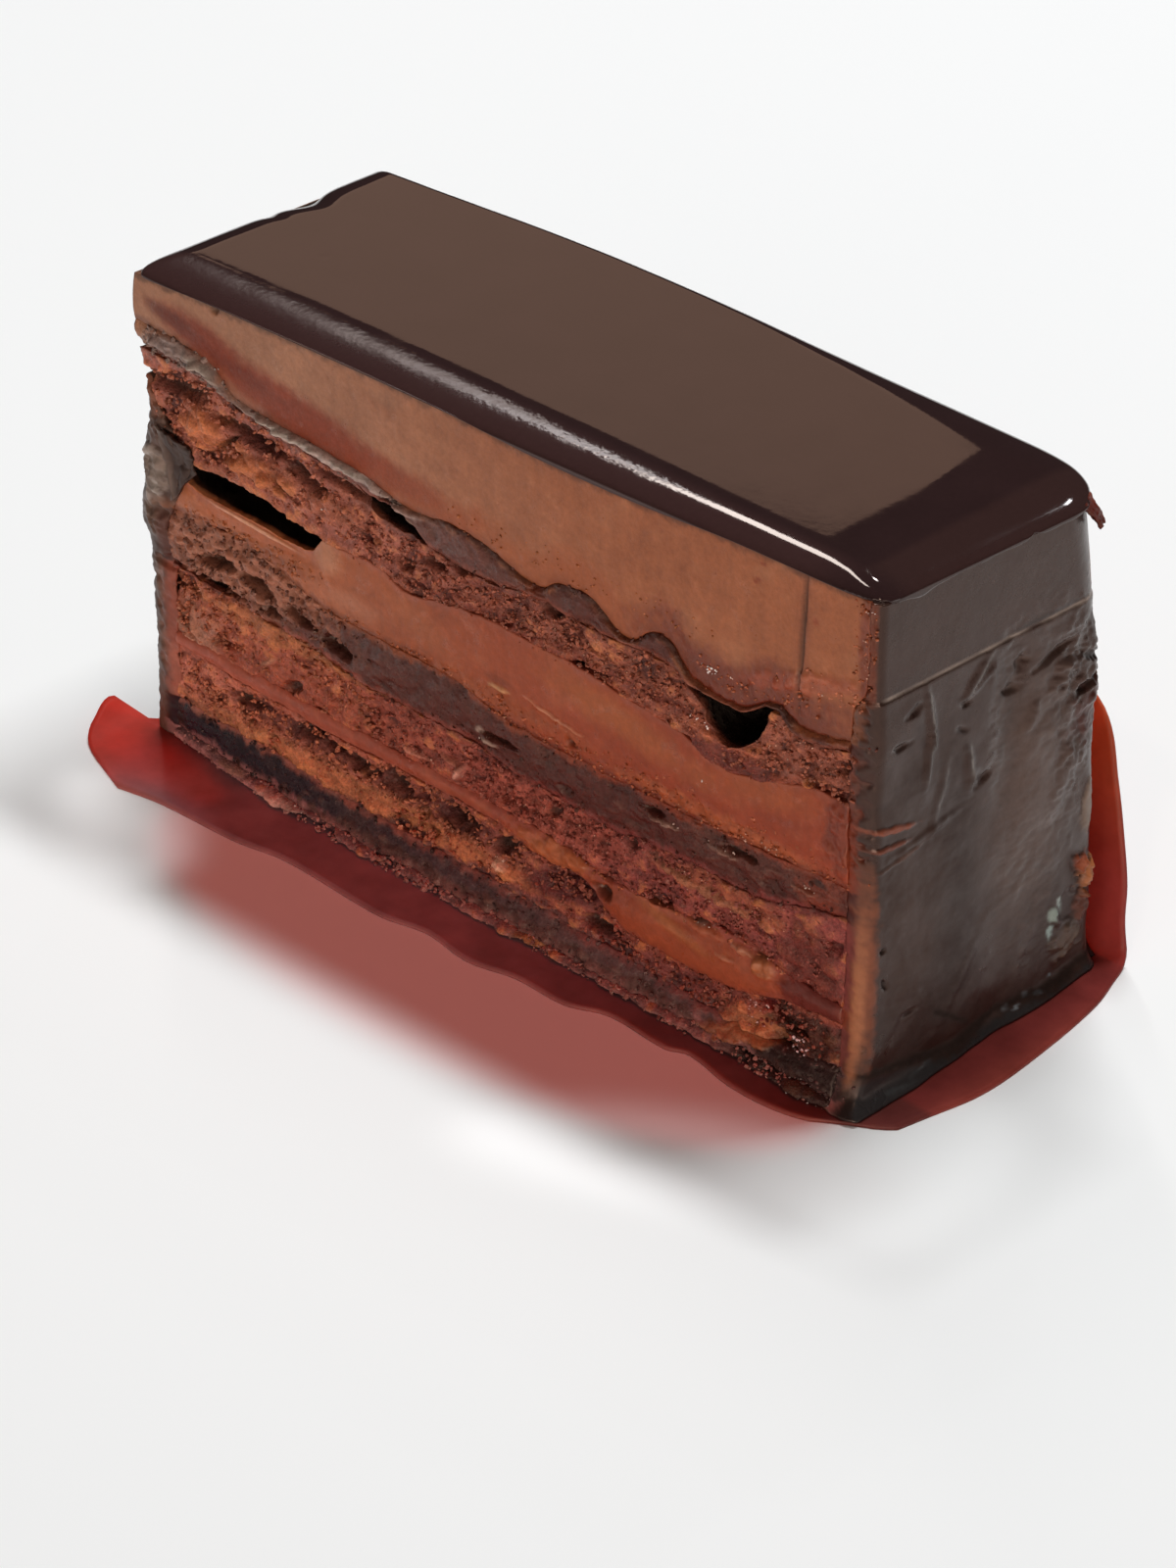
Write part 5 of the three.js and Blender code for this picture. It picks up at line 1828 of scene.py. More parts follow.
@dataclass(frozen=True)
class LeftCoat:
    """The thinner coat on the left end, lumpy where it is folded over the cut face.

    Attributes:
        outline: the slice's outer faces.
        tone: its colour.
        lumps: ridges and patches on its end, by y and z.
        front_lumps: the same on its narrow front, by x and z.
    """

    STRIPS = (14, 70, 220)
    SEED = 61

    outline: Outline
    tone: str = "#3b2820"
    lumps: tuple[Mark, ...] = (
        Mark(0, 24, 5, 2.4, push=0.5, soft=0.8),
        Mark(0, 31, 4, 2.2, push=0.4, soft=0.8),
        Mark(16, 14, 7, 6, push=0.3, soft=0.9),
        Mark(22, 27, 4, 3, push=0.3, soft=0.8),
        Mark(9, 20, 2.5, 5, push=-0.25, soft=0.8),
    )
    front_lumps: tuple[Mark, ...] = (
        Mark(1.2, 28.8, 2.0, 2.8, "#8a7a70", 0.85, push=0.4, wobble=0.6, rough=1.4),
        Mark(1.4, 24.0, 2.2, 2.4, "#705c50", 0.85, push=0.3, wobble=0.6, rough=1.0),
        Mark(0.6, 30.8, 0.9, 0.5, "#b0a49c", 0.8, push=0.4, turn=40, wobble=0.8, rough=0.8),
        Mark(1.8, 27.2, 0.8, 0.5, "#b0a49c", 0.8, push=0.4, turn=-50, wobble=0.8, rough=0.8),
        Mark(0.4, 26.0, 0.6, 0.9, "#9a8c84", 0.8, push=0.3, wobble=0.8, rough=0.8),
        Mark(1.8, 33, 1.6, 1.8, "#5c463e", 0.85, push=0.2, wobble=0.6, rough=0.8),
        Mark(2.0, 37.2, 2.0, 2.2, "#7d4e3c", 0.9, wobble=0.6, rough=0.8),
        Mark(2.2, 19.3, 1.5, 0.6, "#241310", 0.9, push=-0.4, wobble=0.5),
        Mark(0.9, 17, 0.9, 2.2, "#7c5e50", 0.6, soft=0.6, wobble=0.6, rough=0.5),
        Mark(0.9, 10.5, 0.9, 3, "#84685c", 0.6, soft=0.6, wobble=0.6, rough=0.5),
        Mark(2.6, 8.4, 0.8, 1.0, "#3d211b", 0.8, wobble=0.6),
        Mark(2.6, 3, 1.8, 1.8, "#2a1814", 0.85, wobble=0.5),
        Mark(0.3, 3.5, 0.9, 4, "#6b4c40", 0.7, soft=0.5),
    )

    def build(self, stack: Stack, maker: Maker) -> None:
        """Builds the coat.

        Args:
            stack: the layers beside it.
            maker: what makes the piece.
        """
        outline = self.outline
        shape = block(*self.STRIPS)
        u, v, w = shares_of(shape)
        grain = Grain(self.SEED)
        brim = rows(0.0, outline.depth * v, 0.0)
        z = mix(outline.floor, outline.left_coat_top + 2.2 + 1.1 * grain.fractal(brim, 5, 2), w)
        y = mix(outline.front(0, z), outline.back(0, z), v)
        face = rows(0.0, y, z)
        rim = grain.fractal(face, 1.5, 3, 0.6)
        out = 0.25 * grain.fractal(face, 4, 3)
        for lump in self.lumps:
            out += lump.push * lump.weight(rim, y, z)
        top_edge = ease(z, outline.left_coat_top - 5, outline.left_coat_top + 2)
        depth = outline.left_coat(y, z) + 0.15
        ragged = 1.1 * grain.fractal(rows(0.0, 0.0, z), 2.2, 4, 0.75)
        out += 0.3 * grain.fractal(face, 1.3, 3, 0.7) * outline.wrap(0, y, z)
        outer = outline.left(z) - out * (1 - 0.9 * top_edge) - 0.16 * top_edge
        inner = outline.left(z) + depth + ragged * outline.wrap(0, y, z)
        x = mix(outer, inner, u)
        tone = clouded(self.tone, 0.3 * grain.fractal(face, 4, 3))
        at_front = v < 0.001
        spot = rows(x, 0.0, z)
        edge = grain.fractal(spot, 1.1, 3, 0.6)
        bulge = 0.3 * np.sin(np.pi * u) + 0.2 * edge
        dull = np.full(len(u), 0.15)
        for lump in self.front_lumps:
            weight = lump.weight(edge, x, z) * at_front
            bulge += (lump.push + lump.rough * edge) * weight
            tone = tinted(tone, lump.colour, weight * lump.share)
            dull = np.maximum(dull, 0.25 * weight)
        _, beside, _ = stack.at_face(np.maximum(x, 3.5) + 1.5 * edge, z + 0.5 * edge)
        near = ease(u - 0.5 * edge, 0.2, 0.85) * at_front * (1 - ease(z, 24, 27))
        tone = tone + (beside * (0.9 + 0.5 * edge)[:, None] - tone) * (0.8 * near)[:, None]
        coated = Coated(rows(x, y - bulge * at_front, z), tone, dull)
        maker.piece("coat_left_folds", shape, coated, COAT_FINISH, "coat", ("coat_left",))


# ------------------------------------------------------------------ liner


@dataclass(frozen=True)
class Liner:
    """The red film that the slice stands on, turned up behind it.

    Attributes:
        thickness: thickness of the film.
        front: its wavy front edge, along x.
        apron_left: left end of each row in front, by its share from the edge to the cut face.
        apron_right: right end of those rows.
        left: left end of the rows behind, by the length of film from the cut face.
        right: right end of those rows.
        flap_foot: where it begins to turn up.
        fold: radius of that turn.
        rise: height of the flap above the turn.
        lean: the flap's outward lean for each millimetre of height.
        tab_lift: how far the corner of the tab stands off the table.
        apron_rows: how many of its strips of faces lie in front of the cut face.
        tone: its colour.
        apron_painted_light: painted light, a paler tone in front of the slice and beside its foot, where the
            slice shades the film.
        tab_painted_light: painted light, a brighter red at the tab that sticks out at the left into the
            light.
        shade_tone: its colour in front, in the slice's shade.
        edge_highlight_tone: painted highlight along its front edge.
        flap_glow_tone: painted glow of the flap's upper part, lit through from behind.
        crest_highlight_tone: painted highlight along the flap's upper edge.
        end_painted_light: painted light, a lighter colour on its right rim.
        finish: its surface.
    """

    STRIPS_ALONG = 150
    STRIPS_IN = 96
    SEED = 9

    thickness: float = 0.34
    front: Curve = Curve((
        (5, -10.2), (10, -9.3), (20, -8.8), (26, -7.8), (39, -8.1), (44, -7.1), (50, -7.7), (55, -6.6),
        (61, -6.5), (65, -5), (72, -5.2), (74, -4.4), (80, -5.4), (86, -5), (92, -2.6),
    ))
    apron_left: Curve = Curve(((0, 5), (0.3, -2.8), (0.65, -5.9), (0.92, -6.9), (0.97, -5.5), (1, -2.4)))
    apron_right: Curve = Curve(((0, 88), (0.3, 91.6), (0.65, 93.2), (0.92, 94), (1, 94.2)))
    left: Curve = Curve(((0, -2.4), (2.5, 0.3), (32, 0.4), (48, 1.5), (54, 4), (58.9, 12)))
    right: Curve = Curve((
        (0, 94.2), (2.5, 94.7), (9, 95.9), (17, 95.5), (26, 94.2), (31, 92.6), (36, 91.2), (40, 90.8),
        (44, 89.8), (49, 88.3), (55, 86), (58.9, 81),
    ))
    flap_foot: float = 31.2
    fold: float = 2.0
    rise: float = 24.6
    lean: float = 0.1
    tab_lift: float = 1.2
    apron_rows: int = 16
    tone: str = "#97433f"
    apron_painted_light: str = "#c798a2"
    tab_painted_light: str = "#dc3a22"
    shade_tone: str = "#74403c"
    edge_highlight_tone: str = "#c0685c"
    flap_glow_tone: str = "#d2683e"
    crest_highlight_tone: str = "#e8a884"
    end_painted_light: str = "#b5584a"
    finish: FilmFinish = FilmFinish("liner_film", through="#f26a48", clear=0.22, glow=0.3, rough=0.42)

    def spots(self, x: Array, length: Array) -> Array:
        """Places on the film's underside.

        Args:
            x: along the slice.
            length: length of film from the line under the cut face.

        Returns:
            One place a row.
        """
        turn = self.fold * math.pi / 2
        over = length - self.flap_foot
        angle = np.clip(over / self.fold, 0, math.pi / 2)
        rise = np.maximum(over - turn, 0)
        wave = 0.35 * np.sin(x / 4.4) * ease(rise, 0, self.rise)
        y = np.minimum(length, self.flap_foot) + self.fold * np.sin(angle) + rise * self.lean + wave
        outside = np.clip((-2 - x) / 5, 0, 1)
        z = self.fold * (1 - np.cos(angle)) + rise + self.tab_lift * outside**2 * (over < 0)
        return rows(x, y, z)

    def build(self, maker: Maker) -> None:
        """Builds the film.

        Args:
            maker: what makes the piece.
        """
        shape = bmesh.new()
        bmesh.ops.create_grid(shape, x_segments=self.STRIPS_ALONG, y_segments=self.STRIPS_IN, size=0.5)
        u, v, _ = shares_of(shape)
        apron = self.apron_rows / self.STRIPS_IN
        share = np.clip(v / apron, 0, 1)
        whole = self.flap_foot + self.fold * math.pi / 2 + self.rise
        behind = np.clip((v - apron) / (1 - apron), 0, 1) * whole
        in_front = v < apron - 1e-6
        x = np.where(
            in_front,
            mix(self.apron_left(share), self.apron_right(share), u),
            mix(self.left(behind), self.right(behind), u),
        )
        length = np.where(in_front, mix(self.front(x), 0, share), behind)
        spots = self.spots(x, length)
        for vert, spot in zip(shape.verts, spots):
            vert.co = spot
        bmesh.ops.recalc_face_normals(shape, faces=shape.faces)
        shape.normal_update()
        up = sum(f.normal.z for f in shape.faces if f.calc_center_median().z < 0.5)
        inward = -self.thickness if up > 0 else self.thickness
        bmesh.ops.solidify(shape, geom=list(shape.faces), thickness=inward)
        bmesh.ops.recalc_face_normals(shape, faces=shape.faces)
        points = points_of(shape)
        points[:, 2] -= min(0.0, points[:, 2].min())
        coated = Coated(points, self._tones(points), np.zeros(len(points)))
        maker.piece("liner_sheet", shape, coated, self.finish, "liner", ("liner",))

    def _tones(self, points: Array) -> Array:
        """Colours of the film, with painted light and shade on it.

        Args:
            points: places on it.

        Returns:
            One linear colour a row.
        """
        x, y, z = points.T
        in_front = y < 3
        from_edge = np.where(in_front, np.abs(y - self.front(x)), 9.0)
        tone = np.tile(srgb(self.tone), (len(points), 1))
        # painted light and shade over the film's colour: paler in front where the slice shades it, brighter
        # at the tab, darker in the slice's shade, highlights on the front edge and crest, a glow on the
        # backlit flap, lighter on the right rim
        for code, share in (
            (self.apron_painted_light, in_front * (1 - ease(x, 76, 90))),
            (self.tab_painted_light, 0.92 * ease(-x, -15, 2) * in_front),
            (self.shade_tone, 0.7 * ease(x, 40, 74) * in_front),
            (self.edge_highlight_tone, 0.7 * (1 - ease(from_edge, 0.1, 0.6))),
            (self.flap_glow_tone, 0.85 * ease(z, 6, 24)),
            (self.crest_highlight_tone, 0.8 * ease(z, 23.5, 27.5)),
            (self.end_painted_light, 0.5 * ease(x, 92.5, 95.8) * ~in_front),
        ):
            tone = tinted(tone, code, share)
        return tone * (1 + 0.16 * Grain(self.SEED).fractal(points, 6, 4))[:, None]


# ------------------------------------------------------------------ loose pieces


@dataclass(frozen=True)
class Scrap:
    """A thin torn piece of chocolate skin, spanned between four corners.

    Attributes:
        name: the piece's name.
        corners: its corners in order, in millimetres.
        bow: how far its middle stands out.
        crumple: unevenness of its surface.
        thickness: its thickness.
        tone: its colour.
        streak: colour along its first side.
    """

    STRIPS = 34
    SEED = 91

    name: str
    corners: tuple[tuple[float, float, float], ...]
    bow: float
    crumple: float
    thickness: float
    tone: str
    streak: str

    def build(self, maker: Maker) -> None:
        """Builds the scrap.

        Args:
            maker: what makes the piece.
        """
        shape = bmesh.new()
        bmesh.ops.create_grid(shape, x_segments=self.STRIPS, y_segments=self.STRIPS, size=0.5)
        u, v, _ = shares_of(shape)
        a, b, c, d = (np.array(corner) for corner in self.corners)
        grain = Grain(self.SEED)
        flat = rows(u * 8, v * 8, 0.0)
        u_bent = u + 0.09 * grain.fractal(flat, 2.5, 3) * (1 - np.abs(2 * u - 1) * 0.3)
        v_bent = v + 0.09 * grain.fractal(flat + 40, 2.5, 3)
        ends = mix(a, d, v_bent[:, None]), mix(b, c, v_bent[:, None])
        places = mix(*ends, u_bent[:, None])
        out = np.cross(b - a, d - a)
        out = out / np.linalg.norm(out)
        lift = self.bow * np.sin(np.pi * u) * np.sin(np.pi * v) + self.crumple * grain.fractal(flat + 9, 3, 3)
        places = places + lift[:, None] * out
        for vert, place in zip(shape.verts, places):
            vert.co = place
        bmesh.ops.recalc_face_normals(shape, faces=shape.faces)
        bmesh.ops.solidify(shape, geom=list(shape.faces), thickness=self.thickness)
        bmesh.ops.recalc_face_normals(shape, faces=shape.faces)
        points = points_of(shape)
        tone = clouded(self.tone, 0.3 * grain.fractal(points, 1.5, 3))
        side = np.linalg.norm(np.cross(points - a, d - a), axis=1) / np.linalg.norm(d - a)
        tone = tinted(tone, self.streak, 0.8 * (1 - ease(side, 0.1, 1.0)))
        dull = np.full(len(points), 0.2)
        maker.piece(self.name, shape, Coated(points, tone, dull), COAT_FINISH, "coat")


def repeated(shape: bmesh.types.BMesh, count: int) -> None:
    """Repeats all of a shape in place, so that it is there count times.

    Args:
        shape: the shape; its points stay in groups, one group a copy.
        count: how many times it is there in the end.
    """
    points, edges, faces = len(shape.verts), len(shape.edges), len(shape.faces)
    there = 1
    while there < count:
        more = min(there, count - there)
        for row in (shape.verts, shape.edges, shape.faces):
            row.ensure_lookup_table()
        copied = shape.verts[: more * points] + shape.edges[: more * edges] + shape.faces[: more * faces]
        bmesh.ops.duplicate(shape, geom=copied)
        there += more


@dataclass(frozen=True)
class Patch:
    """An area of a face strewn with crumbs.

    Attributes:
        low: its lower left corner, along and up the face.
        high: its upper right corner.
        count: how many crumbs lie in it.
        size: their mean radius.
        colour: their colour.
    """

    low: tuple[float, float]
    high: tuple[float, float]
    count: int
    size: float
    colour: str


@dataclass(frozen=True)
class Crumbs:
    """Crumbs that cling to the cut face, each a jittered ball of a few facets.

    Attributes:
        name: the piece's name.
        finish: their surface.
        slot: the kind of layer that they stay on, when keep_home is set.
        patches: the areas they lie in.
        proud: how far they may stand out of the face.
        jitter: how uneven they are.
        seed: same seed, same crumbs.
        keep_home: whether they stay on layers of their own slot.
        smooth: whether each is shaded round.
        blend: how much of their layer's colour they take.
    """

    name: str
    finish: CutFinish
    slot: str
    patches: tuple[Patch, ...]
    proud: tuple[float, float]
    jitter: float
    seed: int
    keep_home: bool = True
    smooth: bool = False
    blend: float = 0.5

    def build(self, stack: Stack, maker: Maker) -> None:
        """Builds the crumbs as one piece.

        Args:
            stack: the layers that they lie on.
            maker: what makes the piece.
        """
        draw = np.random.default_rng(self.seed)
        low = np.concatenate([np.tile(p.low, (p.count, 1)) for p in self.patches])
        high = np.concatenate([np.tile(p.high, (p.count, 1)) for p in self.patches])
        size = np.concatenate([np.full(p.count, p.size) for p in self.patches])
        colour = np.concatenate([np.tile(srgb(p.colour), (p.count, 1)) for p in self.patches])
        x, z = (low + (high - low) * draw.random(low.shape)).T
        kind, beside, opened = stack.at_face(x, z)
        home = np.array([layer.ware.slot == self.slot for layer in stack.layers] + [False])
        kept = ~opened & (home[kind] | (not self.keep_home))
        x, z, size = x[kept], np.maximum(z[kept], 0.45), size[kept]
        colour = mix(colour[kept], beside[kept], self.blend)
        count = len(x)
        shape = bmesh.new()
        bmesh.ops.create_icosphere(shape, subdivisions=1, radius=1)
        ball = points_of(shape)
        repeated(shape, count)
        y = stack.outline.front(x, z) - draw.uniform(*self.proud, count)
        centre = rows(x, y, z)
        radius = size * draw.uniform(0.45, 1.5, count)
        turn = np.linalg.qr(draw.normal(size=(count, 3, 3)))[0]
        facets = ball[None] * draw.uniform(1 - self.jitter, 1 + self.jitter, (count, len(ball), 1))
        facets = facets * draw.uniform(0.6, 1.4, (count, 1, 3))
        facets = np.einsum("nij,nkj->nki", turn * np.sign(np.linalg.det(turn))[:, None, None], facets)
        points = (centre[:, None] + facets * radius[:, None, None]).reshape(-1, 3)
        tone = colour * draw.uniform(0.7, 1.4, (count, 1))
        tone = np.repeat(tone, len(ball), axis=0)
        wet = np.repeat(draw.random(count) ** 3, len(ball))
        coated = Coated(points, tone, wet)
        maker.piece(self.name, shape, coated, self.finish, self.slot, smooth=self.smooth)


SCRAPS = (
    Scrap(
        "coat_left_flap",
        ((2.4, -0.75, 33.9), (6.6, -0.3, 32.7), (6.9, -0.1, 30.4), (4.2, -0.7, 26.8)),
        bow=0.3, crumple=0.5, thickness=0.3, tone="#332622", streak="#6a5a52",
    ),
    Scrap(
        "coat_corner_flake",
        ((89.4, 27.0, 48.6), (90.6, 25.0, 48.5), (91.5, 26.2, 46.4), (90.6, 27.8, 46.0)),
        bow=0.2, crumple=0.35, thickness=0.4, tone="#55231c", streak="#7a4034",
    ),
)

CRUMB_FINISH = CutFinish(
    "loose_crumb", rough=0.6, wet_rough=0.16, speck_size=0.3, speck=0.3, relief=0.1, relief_size=0.2,
    moist=0.2,
)
BEAD_FINISH = CutFinish(
    "moist_bead", rough=0.22, wet_rough=0.08, speck_size=0.4, speck=0.15, relief=0.02, relief_size=0.3,
    moist=0.2,
)

SPONGE_CRUMBS = Crumbs(
    "sponge_crumbs", CRUMB_FINISH, "sponge",
    (
        Patch((1.5, 31), (28, 40), 1000, 0.18, "#a65f40"),
        Patch((28, 29), (66, 35), 1300, 0.16, "#92503a"),
        Patch((66, 26.6), (88, 35), 800, 0.16, "#92503a"),
        Patch((3, 11), (30, 19), 1000, 0.17, "#9c5c3c"),
        Patch((30, 9.6), (86, 16.5), 1700, 0.16, "#88483a"),
        Patch((3, 4), (50, 10), 1300, 0.17, "#a5603e"),
        Patch((50, 2.6), (86, 8.5), 900, 0.17, "#8c4a36"),
        Patch((3, 0.4), (86, 1.6), 800, 0.18, "#8a5548"),
    ),
    (-0.2, 0.14), 0.4, 11,
)
GANACHE_CRUMBS = Crumbs(
    "ganache_crumbs", CRUMB_FINISH, "ganache",
    (
        Patch((0.5, 40), (12, 43.6), 260, 0.2, "#8a7a70"),
        Patch((12, 36), (37, 40), 420, 0.15, "#85736a"),
        Patch((37, 33.6), (90, 37.4), 260, 0.14, "#4c2e27"),
        Patch((3, 17), (26, 25.6), 620, 0.2, "#8a5c4a"),
        Patch((26, 15), (86, 22), 560, 0.14, "#4a2d26"),
        Patch((3, 1.2), (84, 5), 900, 0.16, "#4a302b"),
        Patch((78, 0.5), (89, 5), 260, 0.2, "#241512"),
    ),
    (-0.2, 0.14), 0.4, 12,
)
CREAM_CRUMBS = Crumbs(
    "cream_crumbs", CRUMB_FINISH, "cream",
    (
        Patch((5, 24.6), (24, 26.6), 240, 0.17, "#a06448"),
        Patch((24, 21.8), (90, 23.2), 420, 0.12, "#a86244"),
        Patch((44, 20), (88, 22), 420, 0.13, "#a86244"),
        Patch((66, 9.2), (82, 10.8), 160, 0.16, "#b06c4c"),
        Patch((46, 8.6), (62, 11), 200, 0.15, "#a4603e"),
    ),
    (-0.16, 0.1), 0.4, 14,
)
MOIST_BEADS = Crumbs(
    "moist_beads", BEAD_FINISH, "mousse",
    (
        Patch((70, 34.4), (77, 36.4), 40, 0.13, "#a65640"),
        Patch((77, 35.4), (84, 38.2), 70, 0.13, "#a65640"),
        Patch((82, 37.6), (89, 39.8), 70, 0.14, "#b0644e"),
        Patch((87, 40), (89.4, 48), 80, 0.12, "#8c4430"),
        Patch((80, 0.6), (90, 3.2), 120, 0.15, "#4a2a24"),
        Patch((76, 8.6), (81, 10.6), 34, 0.14, "#b0603f"),
        Patch((69, 28.4), (80, 30.4), 60, 0.13, "#8e4530"),
        Patch((40, 37.4), (72, 40), 140, 0.09, "#a8623e"),
        Patch((28, 29), (86, 34), 160, 0.1, "#96523e"),
        Patch((30, 10), (86, 15.6), 200, 0.1, "#96523e"),
    ),
    (-0.06, 0.1), 0.2, 13, keep_home=False, smooth=True,
)
# painted glints: near-white beads that stand in for highlights on moist spots
PAINTED_GLINTS = Crumbs(
    "painted_glint_beads", BEAD_FINISH, "mousse",
    tuple(
        Patch((x - a, z - b), (x + a, z + b), count, size, colour)
        for x, z, a, b, count, size, colour in (
            (71.8, 35.4, 1.1, 0.3, 14, 0.09, "#f6ece8"), (74.5, 35.8, 1.0, 0.3, 6, 0.08, "#e8cfc2"),
            (70.6, 30.0, 1.2, 0.3, 12, 0.1, "#ecd4cc"), (73.0, 29.4, 1.2, 0.2, 10, 0.09, "#e6c8bc"),
            (84.6, 39.2, 1.6, 0.4, 14, 0.09, "#ecd4c8"), (82.5, 37.8, 2.0, 0.5, 8, 0.07, "#e6c6b6"),
            (88.6, 47.6, 0.5, 0.6, 8, 0.09, "#f0dcd4"), (88.4, 43.0, 0.6, 2.5, 10, 0.07, "#d8a890"),
            (24.6, 33.0, 0.5, 0.2, 6, 0.1, "#ecd4cc"), (71.0, 24.5, 0.5, 0.15, 4, 0.09, "#f0dcd4"),
            (66.5, 18.6, 2.0, 0.25, 12, 0.08, "#d8b4a6"), (73.5, 18.7, 1.6, 0.25, 10, 0.08, "#dcbcae"),
            (83.0, 19.0, 1.0, 0.3, 10, 0.09, "#e6c8b8"), (45.2, 17.6, 1.2, 0.25, 12, 0.09, "#d8bcb0"),
            (36.0, 12.4, 2.0, 0.2, 12, 0.08, "#deb09a"), (41.4, 12.9, 0.4, 0.8, 10, 0.08, "#e8c4b4"),
            (76.0, 13.8, 7.0, 1.0, 34, 0.06, "#d8a88e"), (55.0, 13.6, 6.0, 1.0, 16, 0.06, "#d09c84"),
            (77.6, 9.6, 1.6, 0.8, 20, 0.08, "#deb49e"), (71.4, 10.3, 0.8, 0.2, 8, 0.08, "#e6c8b8"),
            (46.8, 5.8, 0.7, 0.5, 14, 0.1, "#e2b8a4"), (78.6, 4.8, 1.2, 1.0, 20, 0.09, "#d8b0a8"),
            (83.6, 4.0, 0.9, 0.6, 20, 0.1, "#dcc0c0"), (86.5, 1.0, 3.0, 0.7, 34, 0.07, "#b8a8a4"),
            (56.0, 32.4, 9.0, 1.4, 26, 0.06, "#c89880"), (82.0, 32.0, 4.0, 1.6, 22, 0.06, "#cc9c86"),
            (20.0, 1.0, 2.0, 0.3, 14, 0.1, "#d8b8b0"), (12.0, 0.8, 2.0, 0.3, 10, 0.08, "#cca49a"),
            (60.0, 20.8, 14.0, 0.4, 24, 0.06, "#cc987c"), (77.4, 20.9, 3.0, 0.5, 16, 0.07, "#e0b8a4"),
            (20.0, 38.6, 4.0, 0.25, 14, 0.07, "#d6d2cf"), (8.6, 42.3, 2.4, 0.4, 12, 0.07, "#cbc6c2"),
            (1.2, 29.2, 1.6, 1.8, 22, 0.08, "#cfc8c2"), (16.0, 17.0, 12.0, 1.0, 24, 0.06, "#cf9070"),
            (25.0, 5.6, 20.0, 1.0, 36, 0.06, "#d09468"),
        )
    ),
    (0.0, 0.16), 0.3, 15, keep_home=False, smooth=True, blend=0.1,
)


# ------------------------------------------------------------------ studio


@dataclass(frozen=True)
class Softbox:
    """A rectangular light that faces the slice.

    Attributes:
        name: its name.
        azimuth: where it stands, in degrees from +x towards +y.
        elevation: its height above the floor, in degrees.
        distance: how far away it is, in metres.
        width: its width, in metres.
        height: its height, in metres.
        glow: its brightness, where 1 shows as white.
        colour: its colour.
        roll: how far it is turned about the line to the slice, in degrees.
        mirrored: whether glossy surfaces mirror it.
    """

    name: str
    azimuth: float
    elevation: float
    distance: float
    width: float
    height: float
    glow: float
    colour: Colour
    roll: float = 0.0
    mirrored: bool = True

    def build(self, target: Vector) -> None:
        """Adds the light.

        Args:
            target: what it faces.
        """
        light = bpy.data.lights.new(self.name, "AREA")
        light.shape, light.size, light.size_y = "RECTANGLE", self.width, self.height
        light.energy = self.glow * math.pi * self.width * self.height
        light.color = self.colour
        holder = in_scene(self.name, light)
        a, e = math.radians(self.azimuth), math.radians(self.elevation)
        away = Vector((math.cos(a) * math.cos(e), math.sin(a) * math.cos(e), math.sin(e)))
        holder.location = target + away * self.distance
        turned = away.to_track_quat("Z", "Y").to_matrix() @ Matrix.Rotation(math.radians(self.roll), 3, "Z")
        holder.rotation_euler = turned.to_euler()
        holder.visible_camera = False
        holder.visible_glossy = self.mirrored


@dataclass(frozen=True)
class FloorGlow:
    """A low light that only reaches a patch of the floor near the slice.

    Attributes:
        name: the light's name.
        size: length and width of the patch, in millimetres.
        place: its middle, and its height over the floor, in millimetres.
        turn: its turn about the vertical, in degrees.
        power: its power, in watts.
        colour: its colour.
    """

    SPREAD = 60

    name: str
    size: tuple[float, float]
    place: tuple[float, float, float]
    turn: float
    power: float
    colour: Colour

    def build(self, placement: Placement) -> None:
        """Adds the light.

        Args:
            placement: where the slice lies.
        """
        light = bpy.data.lights.new(self.name, "AREA")
        light.shape, light.spread = "ELLIPSE", math.radians(self.SPREAD)
        light.size, light.size_y = (side * MM for side in self.size)
        light.energy = self.power
        light.color = self.colour
        holder = in_scene(self.name, light)
        holder.location = placement.metres(np.array([self.place]))[0]
        holder.rotation_euler = (0, 0, math.radians(self.turn))
        holder.visible_camera = holder.visible_glossy = False


